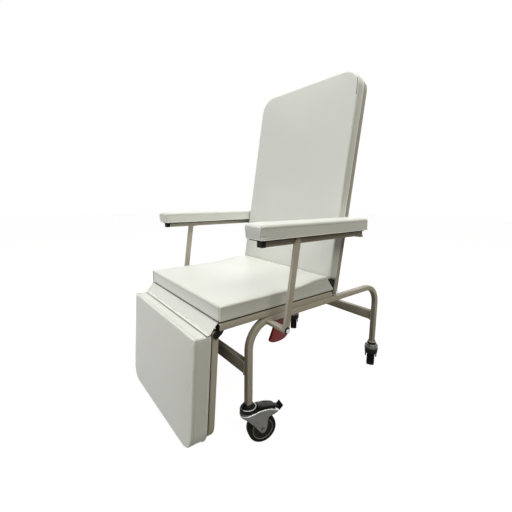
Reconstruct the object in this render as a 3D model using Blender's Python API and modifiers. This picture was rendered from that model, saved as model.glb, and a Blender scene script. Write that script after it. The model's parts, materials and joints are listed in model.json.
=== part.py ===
"""Patient recliner chair: a tubular base on casters, a fixed seat, and a backrest, leg rest and armrests
that recline together.

The arm posts and the push rod are parallelogram links, so the armrests stay level and the leg rest turns as
far as the backrest does. Metres, +Z up. The chair faces -Y and its left side is +X. While the parts are placed,
Y runs back from the seat's front edge. The root empty then centres the whole chair on the origin.
"""

import math

import bmesh
import bpy
from mathutils import Matrix, Vector

# Stock and clearances
TUBE = 0.020               # square tube of the frames
WALL = 0.0015
TUBE_CHAMFER = 0.0020      # rounded corners of the tube, as one chamfer
BAR_HEIGHT = 0.040         # height of the cross bars' tube
PLATE = 0.0045             # steel plate of the brackets and lugs
PIN_RADIUS = 0.004         # hinge pins and bolt shanks
BOLT_HEAD_RADIUS = 0.0070
BOLT_HEAD = 0.0050
LUG_RADIUS = 0.010         # round end of a plate about its pin
FIT = 0.0003               # gap between faces that touch
RUN = 0.0005               # clearance of a moving piece, and of a pin in its hole
ROUND_SIDES = 16

# Base
BASE_WIDTH = 0.500         # over the outer faces of the two sides
RAIL_TOP = 0.399
LEG_FRONT = 0.094          # front face of the front legs
LEG_REAR = 0.793           # rear face of the rear legs
LEG_FOOT = 0.135           # height of the open leg ends
BEND_RADIUS = 0.080        # of the tube's centre line
BEND_STEPS = 8
CROSS_BAR_BOTTOM = 0.230

# Seat
SEAT_WIDTH = 0.500
SEAT_DEPTH = 0.471
SEAT_THICKNESS = 0.045
SEAT_CROWN = 0.006
SEAT_REAR_SLANT = 0.037    # rear edge's top ahead of its foot
SEAT_BOARD = 0.004
SEAT_CORNER = 0.012
BOARD_INSET = 0.010
FRONT_TUBE_INSET = 0.001   # seat frame's front cross tube, behind the side tubes' ends
REAR_TUBE_INSET = 0.012    # rear cross tube, ahead of the side tubes' ends
MIDDLE_TUBE = 0.265        # front face of the seat frame's middle cross tube
DRAIN_RADIUS = 0.003
SIDE_DRAW_IN = 0.002       # how far the cushions' side bands are drawn in between their two edges

# Backrest
BACK_WIDTH = 0.513
BACK_LENGTH = 0.733
BACK_THICKNESS = 0.037
BACK_CROWN = 0.005
BACK_CORNER = 0.065
BACK_FOOT_CORNER = 0.012
BACK_LEAN = math.radians(8.8)
BACK_PIVOT_BEHIND = 0.022  # behind the seat's rear edge
BACK_PIVOT_RISE = 0.016    # above the rails
BACK_SEAT_GAP = 0.006      # between the cushions
PANEL_BOARD = 0.008        # boards of backrest and leg rest
FRAME_INSET = 0.0065       # frame tube inside the cushion's outline
BACK_CROSS_TUBE = 0.060    # lower cross tube's centre line, above the pivot
HOOK_STEPS = 6
TUBE_TAIL = 0.011          # frame tube past its pivot

# Leg rest
LEG_WIDTH = 0.481
LEG_LENGTH = 0.329
LEG_THICKNESS = 0.050
LEG_CROWN = 0.005
LEG_CORNER = 0.052
LEG_HEAD_CORNER = 0.010
LEG_LEAN = math.radians(3.7)
LEG_PIVOT_AHEAD = 0.002    # ahead of the seat's front edge
LEG_PIVOT_DROP = 0.014     # below the rails' top
LEG_CUSHION_RISE = 0.0025  # cushion's top above the pivot
LEG_CROSS_TUBE = 0.060     # top cross tube's centre line, below the pivot
FLAP_THICKNESS = 0.0012
FLAP_INSET = 0.0005        # flap's ends inside the leg rest's sides
FLAP_HEM = 0.010           # the flap's stretch on the leg rest

# Armrests
PAD_INNER = 0.2625         # pad's inner side from the middle
PAD_WIDTH = 0.0765
PAD_OVERHANG = 0.007       # pad's rear end behind the backrest's arm pivot
PAD_THICKNESS = 0.041
PAD_CROWN = 0.003
PAD_CORNER = 0.008
PAD_FRONT = 0.0675         # behind the seat's front edge
PAD_BOTTOM = 0.648
ARM_RAIL = 0.310           # rail's centre line from the middle
ARM_RAIL_FRONT = 0.020     # rail's front end behind the pad's
ARM_RAIL_REAR = 0.006      # rail's rear end ahead of the pad's
CAP_LENGTH = 0.004
CAP_PLUG = 0.012
ARM_STRIP = 0.005          # bracket that carries the rail on the backrest
TAB_GAP = 0.0015           # between that bracket and the backrest's tube
POST_LEAN = math.radians(8.0)
POST_THICKNESS = 0.010
POST_PIVOT = 0.171         # behind the seat's front edge
POST_PIVOT_DROP = 0.015    # below the rails' top
POST_TOP_DROP = 0.001      # upper pivot below the arm rail's centre line
STUB_HEIGHT = 0.010
STUB_WIDTH = 0.020
BOLT_DEPTH = 0.022         # of the post's bolt in the stub

# Recline mechanism
RECLINE = math.radians(60.0)
CRANK = 0.085              # push rod's stud from the backrest's and the leg rest's axis
ROD_RADIUS = 0.006
ROD_EYE = 0.008            # thickness of the push rod's flat eyes
SPRING_X = 0.035
SPRING_DROP = 0.058        # gas spring's line below the backrest's axis
SPRING_RADIUS = 0.013
SPRING_LENGTH = 0.130
SPRING_NECK = 0.006
SPRING_ROD_RADIUS = 0.005
SLOT_CLEARANCE = 0.0017    # slotted lug, each side of the gas spring's pin
BRACKET_HALF = 0.023       # gas spring bracket, half width
SHAFT_RADIUS = 0.005
SHAFT_DROP = 0.026         # release shaft below the rails' top
SHAFT_AHEAD = 0.016        # release shaft ahead of the bracket's web
LEVER_X = 0.196
LEVER_THICKNESS = 0.010
LEVER_LENGTH = 0.097       # below the shaft
LEVER_FRONT = 0.043        # its foot's reach ahead of the shaft
LEVER_REAR = 0.037
LEVER_HEAD = 0.016
LEVER_ROUND = 0.014        # depth of its rounded foot
LEVER_HOLLOW = 0.005       # of its front edge

# Casters
WHEEL_RADIUS = 0.046
WHEEL_WIDTH = 0.031
WHEEL_SIDES = 24
TYRE_DEPTH = 0.012
TYRE_SHOULDER = 0.005
TRAIL = 0.043              # axle behind the swivel axis
HEAD_RADIUS = 0.026        # swivel head
HEAD_GAP = 0.013           # swivel head's top below the leg end
FORK_GAP = 0.0015          # each side of the wheel
FORK_PLATE = 0.0025
FORK_TOP = 0.110
FORK_TAIL = 0.088          # behind the swivel axis
FORK_LIP = 0.008           # upright lip at the fork's two ends
FORK_WAIST = 0.033         # where the side plates narrow, below the top
BOSS_RADIUS = 0.011
STEM_PIN = 0.0078          # in the leg's tube
STEM_LENGTH = 0.035
STEM_COLLAR = 0.0135
STEM_FLANGE = 0.018
KINGPIN = 0.005
PEDAL_CHEEK = 0.0035
PEDAL_TIP = 0.112          # clear of the leg rest as the caster turns
PEDAL_HEIGHT = 0.014
PEDAL_WIDTH = 0.034        # of its arm
PEDAL_TAIL = 0.006         # height of the arm where it meets the toe
PEDAL_TOE = 0.017
PEDAL_TOE_DROP = 0.0055    # toe's middle below the arm's underside
PEDAL_PIVOT_DROP = 0.021   # pedal's axis below the leg end
SWIVELS = {                # which way each caster trails, degrees from +X
    "front_left": 74.0,
    "front_right": 62.0,
    "rear_left": 120.0,
    "rear_right": 136.0,
}

# Derived places
FRAME_BOTTOM = RAIL_TOP + FIT
FRAME_TOP = FRAME_BOTTOM + TUBE
BOARD_BOTTOM = FRAME_TOP + FIT
CUSHION_BOTTOM = BOARD_BOTTOM + SEAT_BOARD + FIT
SEAT_TOP = CUSHION_BOTTOM + SEAT_THICKNESS
SIDE_X = BASE_WIDTH / 2 - TUBE / 2
SEAT_SIDE_X = SEAT_WIDTH / 2 - TUBE / 2
BACK_PIVOT = Vector((0, SEAT_DEPTH + BACK_PIVOT_BEHIND, RAIL_TOP + BACK_PIVOT_RISE))
LEG_PIVOT = Vector((0, -LEG_PIVOT_AHEAD, RAIL_TOP - LEG_PIVOT_DROP))
BACK_TUBE_X = BACK_WIDTH / 2 - FRAME_INSET - TUBE / 2
LEG_TUBE_X = LEG_WIDTH / 2 - FRAME_INSET - TUBE / 2
FLAP_WIDTH = LEG_WIDTH - FLAP_INSET * 2
PANEL_FRONT = -TUBE / 2 - FIT
PANEL_CUSHION = PANEL_FRONT - PANEL_BOARD - FIT
ARM_RAIL_Z = PAD_BOTTOM - FIT - TUBE / 2
POST_X = ARM_RAIL + TUBE / 2 + RUN
POST_FOOT = Vector((0, POST_PIVOT, RAIL_TOP - POST_PIVOT_DROP))
POST_RISE = ARM_RAIL_Z - POST_TOP_DROP - POST_FOOT.z
POST_LENGTH = POST_RISE / math.cos(POST_LEAN)
POST_VECTOR = Vector((0, POST_RISE * math.tan(POST_LEAN), POST_RISE))
ARM_PIVOT = BACK_PIVOT + POST_VECTOR
PAD_LENGTH = ARM_PIVOT.y + PAD_OVERHANG - PAD_FRONT
HALF_TURN = RECLINE / 2
CRANK_VECTOR = Vector((0, math.sin(HALF_TURN), -math.cos(HALF_TURN)))
SPRING_Z = BACK_PIVOT.z - SPRING_DROP
SPRING_PIN = BACK_PIVOT.y + SPRING_DROP * math.tan(HALF_TURN)
BRACKET_WEB = MIDDLE_TUBE + TUBE / 2
FORK_INNER = WHEEL_WIDTH / 2 + FORK_GAP
FORK_OUTER = FORK_INNER + FORK_PLATE
HEAD_TOP = LEG_FOOT - HEAD_GAP
HOLE_RADIUS = PIN_RADIUS + RUN

# Finishes: colour, roughness, metallic
FINISHES = {
    "vinyl": ((0.78, 0.78, 0.74), 0.45, 0.0),
    "paint": ((0.42, 0.39, 0.34), 0.40, 0.0),
    "dark_paint": ((0.06, 0.055, 0.05), 0.45, 0.0),
    "board": ((0.45, 0.33, 0.20), 0.75, 0.0),
    "plastic": ((0.02, 0.02, 0.02), 0.45, 0.0),
    "rubber": ((0.015, 0.015, 0.015), 0.70, 0.0),
    "zinc": ((0.55, 0.55, 0.54), 0.35, 1.0),
    "steel": ((0.60, 0.60, 0.58), 0.30, 1.0),
    "red": ((0.35, 0.02, 0.01), 0.40, 0.0),
}

# A drawing plane's own X and Y, turned into the chair's axes
SIDE_PLANE = Matrix(((0, 0, 1, 0), (1, 0, 0, 0), (0, 1, 0, 0), (0, 0, 0, 1)))   # X to +Y, Y to +Z
FRONT_PLANE = Matrix.Rotation(math.pi / 2, 4, "X")                              # X to +X, Y to +Z

for old in list(bpy.data.objects):
    bpy.data.objects.remove(old, do_unlink=True)
chair = bpy.data.collections.new("patient_recliner_chair")
bpy.context.scene.collection.children.link(chair)


# Solids

def closed(mesh):
    """Weld a mesh's seams and turn its faces outwards."""
    bm = bmesh.new()
    bm.from_mesh(mesh)
    bmesh.ops.remove_doubles(bm, verts=bm.verts, dist=0.00001)
    bmesh.ops.recalc_face_normals(bm, faces=bm.faces)
    if bm.calc_volume(signed=True) < 0:
        bmesh.ops.reverse_faces(bm, faces=bm.faces)
    bm.to_mesh(mesh)
    bm.free()
    return mesh


def evaluated(obj):
    """The object's mesh with its modifiers applied. The object itself is removed."""
    graph = bpy.context.evaluated_depsgraph_get()
    mesh = bpy.data.meshes.new_from_object(obj.evaluated_get(graph))
    bpy.data.objects.remove(obj, do_unlink=True)
    return mesh


def temporary(data):
    obj = bpy.data.objects.new("temporary", data)
    chair.objects.link(obj)
    return obj


def combine(mesh, operation, others):
    """Boolean of a mesh with each of the others."""
    for other in others:
        target = temporary(mesh)
        tool = temporary(other)
        modifier = target.modifiers.new("boolean", "BOOLEAN")
        modifier.operation = operation
        modifier.solver = "EXACT"
        modifier.object = tool
        mesh = closed(evaluated(target))
        bpy.data.objects.remove(tool, do_unlink=True)
    return mesh


def join(mesh, *others):
    return combine(mesh, "UNION", others)


def cut(mesh, *others):
    return combine(mesh, "DIFFERENCE", others)


def box(low, high):
    low = Vector(low)
    high = Vector(high)
    bm = bmesh.new()
    scale = Matrix.Diagonal((high - low).to_4d())
    scale[3][3] = 1.0
    bmesh.ops.create_cube(bm, size=1.0, matrix=Matrix.Translation((low + high) / 2) @ scale)
    mesh = bpy.data.meshes.new("box")
    bm.to_mesh(mesh)
    bm.free()
    return closed(mesh)


def cylinder(start, end, radius, sides=ROUND_SIDES):
    start = Vector(start)
    along = Vector(end) - start
    turn = along.to_track_quat("Z", "Y").to_matrix().to_4x4()
    bm = bmesh.new()
    bmesh.ops.create_cone(bm, cap_ends=True, segments=sides, radius1=radius, radius2=radius,
                          depth=along.length, matrix=Matrix.Translation(start + along / 2) @ turn)
    mesh = bpy.data.meshes.new("cylinder")
    bm.to_mesh(mesh)
    bm.free()
    return closed(mesh)


def arc(centre, radius, start, end, steps):
    """Points of an arc, in degrees, both ends included."""
    points = []
    for step in range(steps + 1):
        angle = math.radians(start + (end - start) * step / steps)
        points.append((centre[0] + radius * math.cos(angle), centre[1] + radius * math.sin(angle)))
    return points


def add_spline(curve, points, cyclic):
    spline = curve.splines.new("POLY")
    spline.points.add(len(points) - 1)
    for point, (across, up) in zip(spline.points, points):
        point.co = (across, up, 0.0, 1.0)
    spline.use_cyclic_u = cyclic


def plate(outline, thickness, plane, middle, holes=()):
    """A flat outline of a plane, with round holes, extruded to a thickness about its middle."""
    curve = bpy.data.curves.new("plate", "CURVE")
    curve.dimensions = "2D"
    curve.fill_mode = "BOTH"
    curve.extrude = thickness / 2
    add_spline(curve, outline, True)
    for centre, radius in holes:
        add_spline(curve, arc(centre, radius, 0, 360, ROUND_SIDES)[:-1], True)
    mesh = evaluated(temporary(curve))
    mesh.transform(Matrix.Translation(middle) @ plane)
    return closed(mesh)


def tube(path, plane, middle, in_plane=TUBE, across=TUBE, wall=WALL):
    """A hollow rectangular tube along a path drawn in a plane, with open ends."""
    half_a = in_plane / 2
    half_b = across / 2
    flat_a = half_a - TUBE_CHAMFER
    flat_b = half_b - TUBE_CHAMFER
    section = bpy.data.curves.new("section", "CURVE")
    section.dimensions = "2D"
    section.fill_mode = "NONE"
    corners = [(half_a, -flat_b), (half_a, flat_b), (flat_a, half_b), (-flat_a, half_b),
               (-half_a, flat_b), (-half_a, -flat_b), (-flat_a, -half_b), (flat_a, -half_b)]
    add_spline(section, corners, True)
    profile = temporary(section)
    curve = bpy.data.curves.new("path", "CURVE")
    curve.dimensions = "2D"
    curve.fill_mode = "NONE"
    curve.bevel_mode = "OBJECT"
    curve.bevel_object = profile
    add_spline(curve, path, False)
    skin = evaluated(temporary(curve))
    bpy.data.objects.remove(profile, do_unlink=True)
    bm = bmesh.new()
    bm.from_mesh(skin)
    bmesh.ops.remove_doubles(bm, verts=bm.verts, dist=0.00001)
    bmesh.ops.recalc_face_normals(bm, faces=bm.faces)
    bm.to_mesh(skin)
    bm.free()
    shell = temporary(skin)
    solidify = shell.modifiers.new("wall", "SOLIDIFY")
    solidify.thickness = wall
    solidify.offset = -1.0
    solidify.use_even_offset = True
    mesh = evaluated(shell)
    mesh.transform(Matrix.Translation(middle) @ plane)
    return closed(mesh)


def bent(path, radius, steps):
    """A path whose inner corners, all square, are rounded to a radius."""
    points = [path[0]]
    for before, corner, after in zip(path, path[1:], path[2:]):
        corner = Vector(corner)
        into = (corner - Vector(before)).normalized()
        out = (Vector(after) - corner).normalized()
        centre = corner - into * radius + out * radius
        for step in range(steps + 1):
            angle = math.pi / 2 * step / steps
            point = centre - out * radius * math.cos(angle) + into * radius * math.sin(angle)
            points.append(tuple(point))
    points.append(path[-1])
    return points


def turned(profile, steps=WHEEL_SIDES):
    """A closed profile of radius and height, turned about Z."""
    bm = bmesh.new()
    verts = [bm.verts.new((radius, 0, height)) for radius, height in profile]
    for index, vert in enumerate(verts):
        bm.edges.new((vert, verts[(index + 1) % len(verts)]))
    mesh = bpy.data.meshes.new("profile")
    bm.to_mesh(mesh)
    bm.free()
    obj = temporary(mesh)
    screw = obj.modifiers.new("turn", "SCREW")
    screw.steps = steps
    screw.render_steps = steps
    screw.use_merge_vertices = True
    screw.merge_threshold = 0.00001
    return closed(evaluated(obj))


def cushion(width, length, thickness, crown, corners, cuts, slant=0.0):
    """A padded slab with its flat back at Z 0: crowned top, drawn-in side bands, round corners in plan.

    corners holds the corner radius at the -Y end and at the +Y end, and cuts the cage's cuts along X, Y and Z.
    slant draws the top of the +Y end forward.
    """
    bm = bmesh.new()
    bmesh.ops.create_cube(bm, size=2.0)
    for axis, count in enumerate(cuts):
        edges = [edge for edge in bm.edges if abs((edge.verts[0].co - edge.verts[1].co)[axis]) > 0.001]
        bmesh.ops.subdivide_edges(bm, edges=edges, cuts=count, use_grid_fill=True)
    for vert in bm.verts:
        across = math.sin(vert.co.x * math.pi / 2)
        along = math.sin(vert.co.y * math.pi / 2)
        level = (vert.co.z + 1) / 2
        draw = SIDE_DRAW_IN * math.sin(math.pi * level)
        radius = corners[0] if along < 0 else corners[1]
        core_x = width / 2 - radius
        core_y = length / 2 - radius
        x = across * width / 2
        y = along * length / 2
        over = Vector((math.copysign(max(abs(x) - core_x, 0), x), math.copysign(max(abs(y) - core_y, 0), y)))
        if over.x and over.y:
            rounder = over * (max(abs(over.x), abs(over.y)) / over.length)
            x += rounder.x - over.x
            y += rounder.y - over.y
        x *= 1 - draw / (width / 2)
        y *= 1 - draw / (length / 2)
        y -= slant * level * ((along + 1) / 2) ** 3
        z = thickness * level
        if level > 0.999:
            z += crown * (1 - across ** 4) * (1 - along ** 4)
        vert.co = (x, y, z)
    mesh = bpy.data.meshes.new("cushion")
    bm.to_mesh(mesh)
    bm.free()
    return closed(mesh)


# Placing

def frame(name, parent=None, location=(0, 0, 0), lean=0.0, swivel=0.0):
    """An empty on a joint's axis. It leans back about X, or swivels about Z."""
    empty = bpy.data.objects.new(name, None)
    empty.empty_display_size = 0.05
    chair.objects.link(empty)
    empty.parent = parent
    empty.location = location
    empty.rotation_euler = (-lean, 0.0, swivel)
    bpy.context.view_layer.update()
    return empty


def piece(name, mesh, parent, finish, smooth=False):
    """A named sub-part with its own material, in its frame's own coordinates."""
    colour, roughness, metallic = FINISHES[finish]
    material = bpy.data.materials.new(name)
    material.use_nodes = True
    shader = material.node_tree.nodes["Principled BSDF"]
    shader.inputs["Base Color"].default_value = (*colour, 1.0)
    shader.inputs["Roughness"].default_value = roughness
    shader.inputs["Metallic"].default_value = metallic
    mesh.name = name
    mesh.materials.clear()
    mesh.materials.append(material)
    if smooth:
        mesh.shade_smooth()
        mesh.set_sharp_from_angle(angle=math.radians(35))
    obj = bpy.data.objects.new(name, mesh)
    chair.objects.link(obj)
    obj.parent = parent
    return obj


def local(empty, vector):
    """A direction of the chair, in a leaning frame's own axes."""
    return empty.matrix_world.to_3x3().inverted() @ Vector(vector)


def span(side, inner, outer):
    """An X interval on the left (+1) or the right (-1), low end first."""
    return tuple(sorted((side * inner, side * outer)))


def side_box(side, inner, outer, low, high):
    """A box between two distances from the middle, with Y and Z limits."""
    x_low, x_high = span(side, inner, outer)
    return box((x_low, *low), (x_high, *high))


def stadium(start, end, radius):
    """A bar's outline with round ends about two points."""
    start = Vector(start)
    end = Vector(end)
    heading = math.degrees(math.atan2(end.y - start.y, end.x - start.x))
    half = ROUND_SIDES // 2
    far_end = arc(end, radius, heading - 90, heading + 90, half)
    return far_end + arc(start, radius, heading + 90, heading + 270, half)


SIDES = {"left": 1, "right": -1}
root = frame("recliner")


# Base

def base_side(side):
    front = LEG_FRONT + TUBE / 2
    rear = LEG_REAR - TUBE / 2
    rail = RAIL_TOP - TUBE / 2
    corners = [(front, LEG_FOOT), (front, rail), (rear, rail), (rear, LEG_FOOT)]
    return tube(bent(corners, BEND_RADIUS, BEND_STEPS), SIDE_PLANE, (side * SIDE_X, 0, 0))


def cross_bar(middle):
    reach = BASE_WIDTH / 2 - TUBE - FIT
    return tube([(-reach, 0), (reach, 0)], FRONT_PLANE, (0, middle, CROSS_BAR_BOTTOM + BAR_HEIGHT / 2),
                in_plane=BAR_HEIGHT)


def seat_frame():
    """Two side tubes with open ends, joined by three drained cross tubes."""
    level = FRAME_BOTTOM + TUBE / 2
    ends = [(0, 0), (SEAT_DEPTH, 0)]
    sides = [tube(ends, SIDE_PLANE, (side * SEAT_SIDE_X, 0, level)) for side in SIDES.values()]
    reach = SEAT_SIDE_X - TUBE / 2 + WALL / 2
    rear = SEAT_DEPTH - REAR_TUBE_INSET - TUBE / 2
    middles = (FRONT_TUBE_INSET + TUBE / 2, MIDDLE_TUBE + TUBE / 2, rear)
    crosses = [tube([(-reach, 0), (reach, 0)], FRONT_PLANE, (0, y, level)) for y in middles]
    drains = [cylinder((0, y, FRAME_BOTTOM - WALL), (0, y, level), DRAIN_RADIUS, 8) for y in middles]
    crosses = [cut(cross, drain) for cross, drain in zip(crosses, drains)]
    return join(sides[0], *crosses, sides[1])


def seat_board():
    half = SEAT_WIDTH / 2 - BOARD_INSET
    return box((-half, BOARD_INSET, BOARD_BOTTOM), (half, SEAT_DEPTH - BOARD_INSET, BOARD_BOTTOM + SEAT_BOARD))


def seat_cushion():
    corners = (SEAT_CORNER, SEAT_CORNER)
    mesh = cushion(SEAT_WIDTH, SEAT_DEPTH, SEAT_THICKNESS, SEAT_CROWN, corners, (9, 9, 3), SEAT_REAR_SLANT)
    mesh.transform(Matrix.Translation((0, SEAT_DEPTH / 2, CUSHION_BOTTOM)))
    return mesh


def arm_stub(side):
    half = STUB_WIDTH / 2
    rail_face = BASE_WIDTH / 2 + FIT
    end = POST_X - FIT
    low = (POST_FOOT.y - half, POST_FOOT.z - STUB_HEIGHT / 2)
    high = (POST_FOOT.y + half, POST_FOOT.z + STUB_HEIGHT / 2)
    bore_start = (side * (end - BOLT_DEPTH - RUN), POST_FOOT.y, POST_FOOT.z)
    bore = cylinder(bore_start, (side * (end + RUN), POST_FOOT.y, POST_FOOT.z), PIN_RADIUS + FIT)
    return cut(side_box(side, rail_face, end, low, high), bore)


def bolt(side, face, depth, place):
    """A hexagon bolt along X: its head stands out from a face, and its shank reaches in."""
    def at(x):
        return (side * x, place.y, place.z)
    head = cylinder(at(face + FIT), at(face + FIT + BOLT_HEAD), BOLT_HEAD_RADIUS, 6)
    shank = cylinder(at(face - depth), at(face + FIT + BOLT_HEAD / 2), PIN_RADIUS)
    return join(head, shank)


def back_hinge_bracket(side):
    """A plate on the inner faces of the seat's side tube, with the backrest's hole."""
    start = SEAT_DEPTH - REAR_TUBE_INSET + FIT
    low = BACK_PIVOT.z - LUG_RADIUS
    pivot = (BACK_PIVOT.y, BACK_PIVOT.z)
    outline = [(start, FRAME_TOP), (start, low)] + arc(pivot, LUG_RADIUS, -90, 100, ROUND_SIDES // 2)
    inner_face = min(SEAT_SIDE_X, BACK_TUBE_X) - TUBE / 2 - RUN
    middle = (side * (inner_face - PLATE / 2), 0, 0)
    return plate(outline, PLATE, SIDE_PLANE, middle, [(pivot, PIN_RADIUS + FIT)])


def leg_hinge_bracket(side):
    """A plate under the seat's side tube, with the leg rest's pin."""
    pivot = (LEG_PIVOT.y, LEG_PIVOT.z)
    top = FRAME_BOTTOM - FIT
    outline = [(LEG_PIVOT.y + LUG_RADIUS / 2, top)]
    outline += arc(pivot, LUG_RADIUS, 120, 290, ROUND_SIDES // 2)
    outline += [(TUBE * 1.5, LEG_PIVOT.z), (TUBE * 2, top)]
    inner = LEG_TUBE_X + TUBE / 2 + RUN
    body = plate(outline, PLATE, SIDE_PLANE, (side * (inner + PLATE / 2), 0, 0))
    start = (side * (LEG_TUBE_X - TUBE / 2 - PLATE), *pivot)
    return join(body, cylinder(start, (side * (inner + PLATE / 2), *pivot), PIN_RADIUS))


def hinge_flap():
    """The vinyl strip from under the seat cushion's front edge to the leg rest's top."""
    head = Vector((-RUN, CUSHION_BOTTOM - FIT))
    leg_back = LEG_PIVOT.y + PANEL_CUSHION
    leg_top = LEG_PIVOT.z + LEG_CUSHION_RISE + LEG_THICKNESS * math.sin(LEG_LEAN) + RUN
    fold = Vector((leg_back, leg_top))
    hem = Vector((leg_back - FLAP_HEM, leg_top))
    step = (head - fold).normalized()
    off = Vector((-step.y, step.x)) * FLAP_THICKNESS
    rise = Vector((0, FLAP_THICKNESS))
    outline = [head, fold, hem, hem + rise, fold + rise + off / 2, head + off]
    return plate([tuple(point) for point in outline], FLAP_WIDTH, SIDE_PLANE, (0, 0, 0))


def spring_bracket():
    """The gas spring's web under the middle cross tube, with two ears for the release shaft."""
    web = BRACKET_WEB
    low = SPRING_Z - SPRING_RADIUS
    top = FRAME_BOTTOM - FIT
    left = SPRING_X - BRACKET_HALF
    right = SPRING_X + BRACKET_HALF
    shaft_y = web - SHAFT_AHEAD
    shaft_z = RAIL_TOP - SHAFT_DROP
    body = box((left, web, low), (right, web + PLATE, top))
    ear_front = shaft_y - LUG_RADIUS
    ear_low = shaft_z - LUG_RADIUS
    for edge in (left, right - PLATE):
        body = join(body, box((edge, ear_front, ear_low), (edge + PLATE, web + PLATE / 2, top)))
    shaft_hole = cylinder((left - RUN, shaft_y, shaft_z), (right + RUN, shaft_y, shaft_z), SHAFT_RADIUS + RUN)
    neck_end = (SPRING_X, web + PLATE + RUN, SPRING_Z)
    neck_hole = cylinder((SPRING_X, web - RUN, SPRING_Z), neck_end, SPRING_NECK + FIT)
    return cut(body, shaft_hole, neck_hole)


def gas_cylinder():
    """The gas spring's body, with its threaded neck in the bracket and a bore for the rod."""
    start = BRACKET_WEB + PLATE + FIT
    end = start + SPRING_LENGTH
    body = cylinder((SPRING_X, start, SPRING_Z), (SPRING_X, end, SPRING_Z), SPRING_RADIUS)
    neck_start = (SPRING_X, BRACKET_WEB - SPRING_NECK, SPRING_Z)
    body = join(body, cylinder(neck_start, (SPRING_X, start + WALL, SPRING_Z), SPRING_NECK))
    bore_start = (SPRING_X, start + SPRING_NECK, SPRING_Z)
    bore = cylinder(bore_start, (SPRING_X, end + RUN, SPRING_Z), SPRING_ROD_RADIUS + RUN)
    return cut(body, bore)


for side_name, sign in SIDES.items():
    piece(f"base_side_{side_name}", base_side(sign), root, "paint", smooth=True)
    piece(f"arm_stub_{side_name}", arm_stub(sign), root, "paint")
    post_face = POST_X + POST_THICKNESS
    piece(f"post_bolt_{side_name}", bolt(sign, post_face, POST_THICKNESS + BOLT_DEPTH, POST_FOOT), root, "zinc")
    piece(f"back_hinge_bracket_{side_name}", back_hinge_bracket(sign), root, "paint")
    tube_face = BACK_TUBE_X + TUBE / 2
    piece(f"back_hinge_bolt_{side_name}", bolt(sign, tube_face, TUBE + PLATE * 2, BACK_PIVOT), root, "zinc")
    piece(f"leg_hinge_bracket_{side_name}", leg_hinge_bracket(sign), root, "dark_paint")
piece("front_cross_bar", cross_bar(LEG_FRONT + TUBE / 2), root, "paint", smooth=True)
piece("rear_cross_bar", cross_bar(LEG_REAR - TUBE / 2), root, "paint", smooth=True)
piece("seat_frame", seat_frame(), root, "paint")
piece("seat_board", seat_board(), root, "board")
piece("seat_cushion", seat_cushion(), root, "vinyl", smooth=True)
piece("hinge_flap", hinge_flap(), root, "vinyl")
piece("spring_bracket", spring_bracket(), root, "dark_paint")
piece("gas_cylinder", gas_cylinder(), root, "plastic", smooth=True)


# Backrest

back = frame("back_pivot", root, BACK_PIVOT, lean=BACK_LEAN)
BACK_FACE = PANEL_CUSHION - BACK_THICKNESS
CUSHION_FOOT_RISE = SEAT_TOP + BACK_SEAT_GAP - BACK_PIVOT.z + BACK_FACE * math.sin(BACK_LEAN)
CUSHION_FOOT = CUSHION_FOOT_RISE / math.cos(BACK_LEAN)


def hook(side, half_width, straight_end, bend_line, radius):
    """Half of a bent frame: a side tube whose far end bends inwards to the middle."""
    corners = [(side * half_width, straight_end), (side * half_width, bend_line), (side * FIT, bend_line)]
    return tube(bent(corners, radius, HOOK_STEPS), FRONT_PLANE, (0, 0, 0))


def back_side_tube(side):
    top_line = CUSHION_FOOT + BACK_LENGTH - FRAME_INSET - TUBE / 2
    radius = BACK_CORNER - FRAME_INSET - TUBE / 2
    mesh = hook(side, BACK_TUBE_X, -TUBE_TAIL, top_line, radius)
    arm = local(back, POST_VECTOR)
    holes = []
    for place in (Vector(), arm):
        x_low, x_high = span(side, BACK_TUBE_X - TUBE, BACK_TUBE_X + TUBE)
        holes.append(cylinder((x_low, place.y, place.z), (x_high, place.y, place.z), HOLE_RADIUS))
    return cut(mesh, *holes)


def back_lower_tube():
    """The cross tube that carries the crank lug: a slot for the gas spring's pin, a stud for the push rod."""
    reach = BACK_TUBE_X - TUBE / 2 - FIT
    bar = tube([(-reach, 0), (reach, 0)], FRONT_PLANE, (0, 0, BACK_CROSS_TUBE))
    crank = local(back, CRANK_VECTOR)
    stud = crank * CRANK
    foot = Vector((0, BACK_CROSS_TUBE - TUBE / 2 + WALL / 2))
    outline = stadium((stud.y, stud.z), foot, LUG_RADIUS)
    trim = box((-PLATE, -TUBE, foot.y), (PLATE, TUBE, BACK_CROSS_TUBE + TUBE))
    near = crank * (SPRING_DROP - SLOT_CLEARANCE)
    far = crank * (SPRING_DROP / math.cos(HALF_TURN) + SLOT_CLEARANCE)
    slot = stadium((near.y, near.z), (far.y, far.z), PIN_RADIUS + SLOT_CLEARANCE)
    lug = cut(plate(outline, PLATE, SIDE_PLANE, (0, 0, 0)), trim, plate(slot, PLATE * 2, SIDE_PLANE, (0, 0, 0)))
    pin_end = -PLATE / 2 - RUN - ROD_EYE - RUN
    return join(bar, lug, cylinder((0, stud.y, stud.z), (pin_end, stud.y, stud.z), PIN_RADIUS))


def panel_cushion(mesh, foot, length):
    """Stand a cushion up against its board, with its foot at a height."""
    mesh.transform(Matrix.Translation((0, PANEL_CUSHION, foot + length / 2)) @ FRONT_PLANE)
    return mesh


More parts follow.
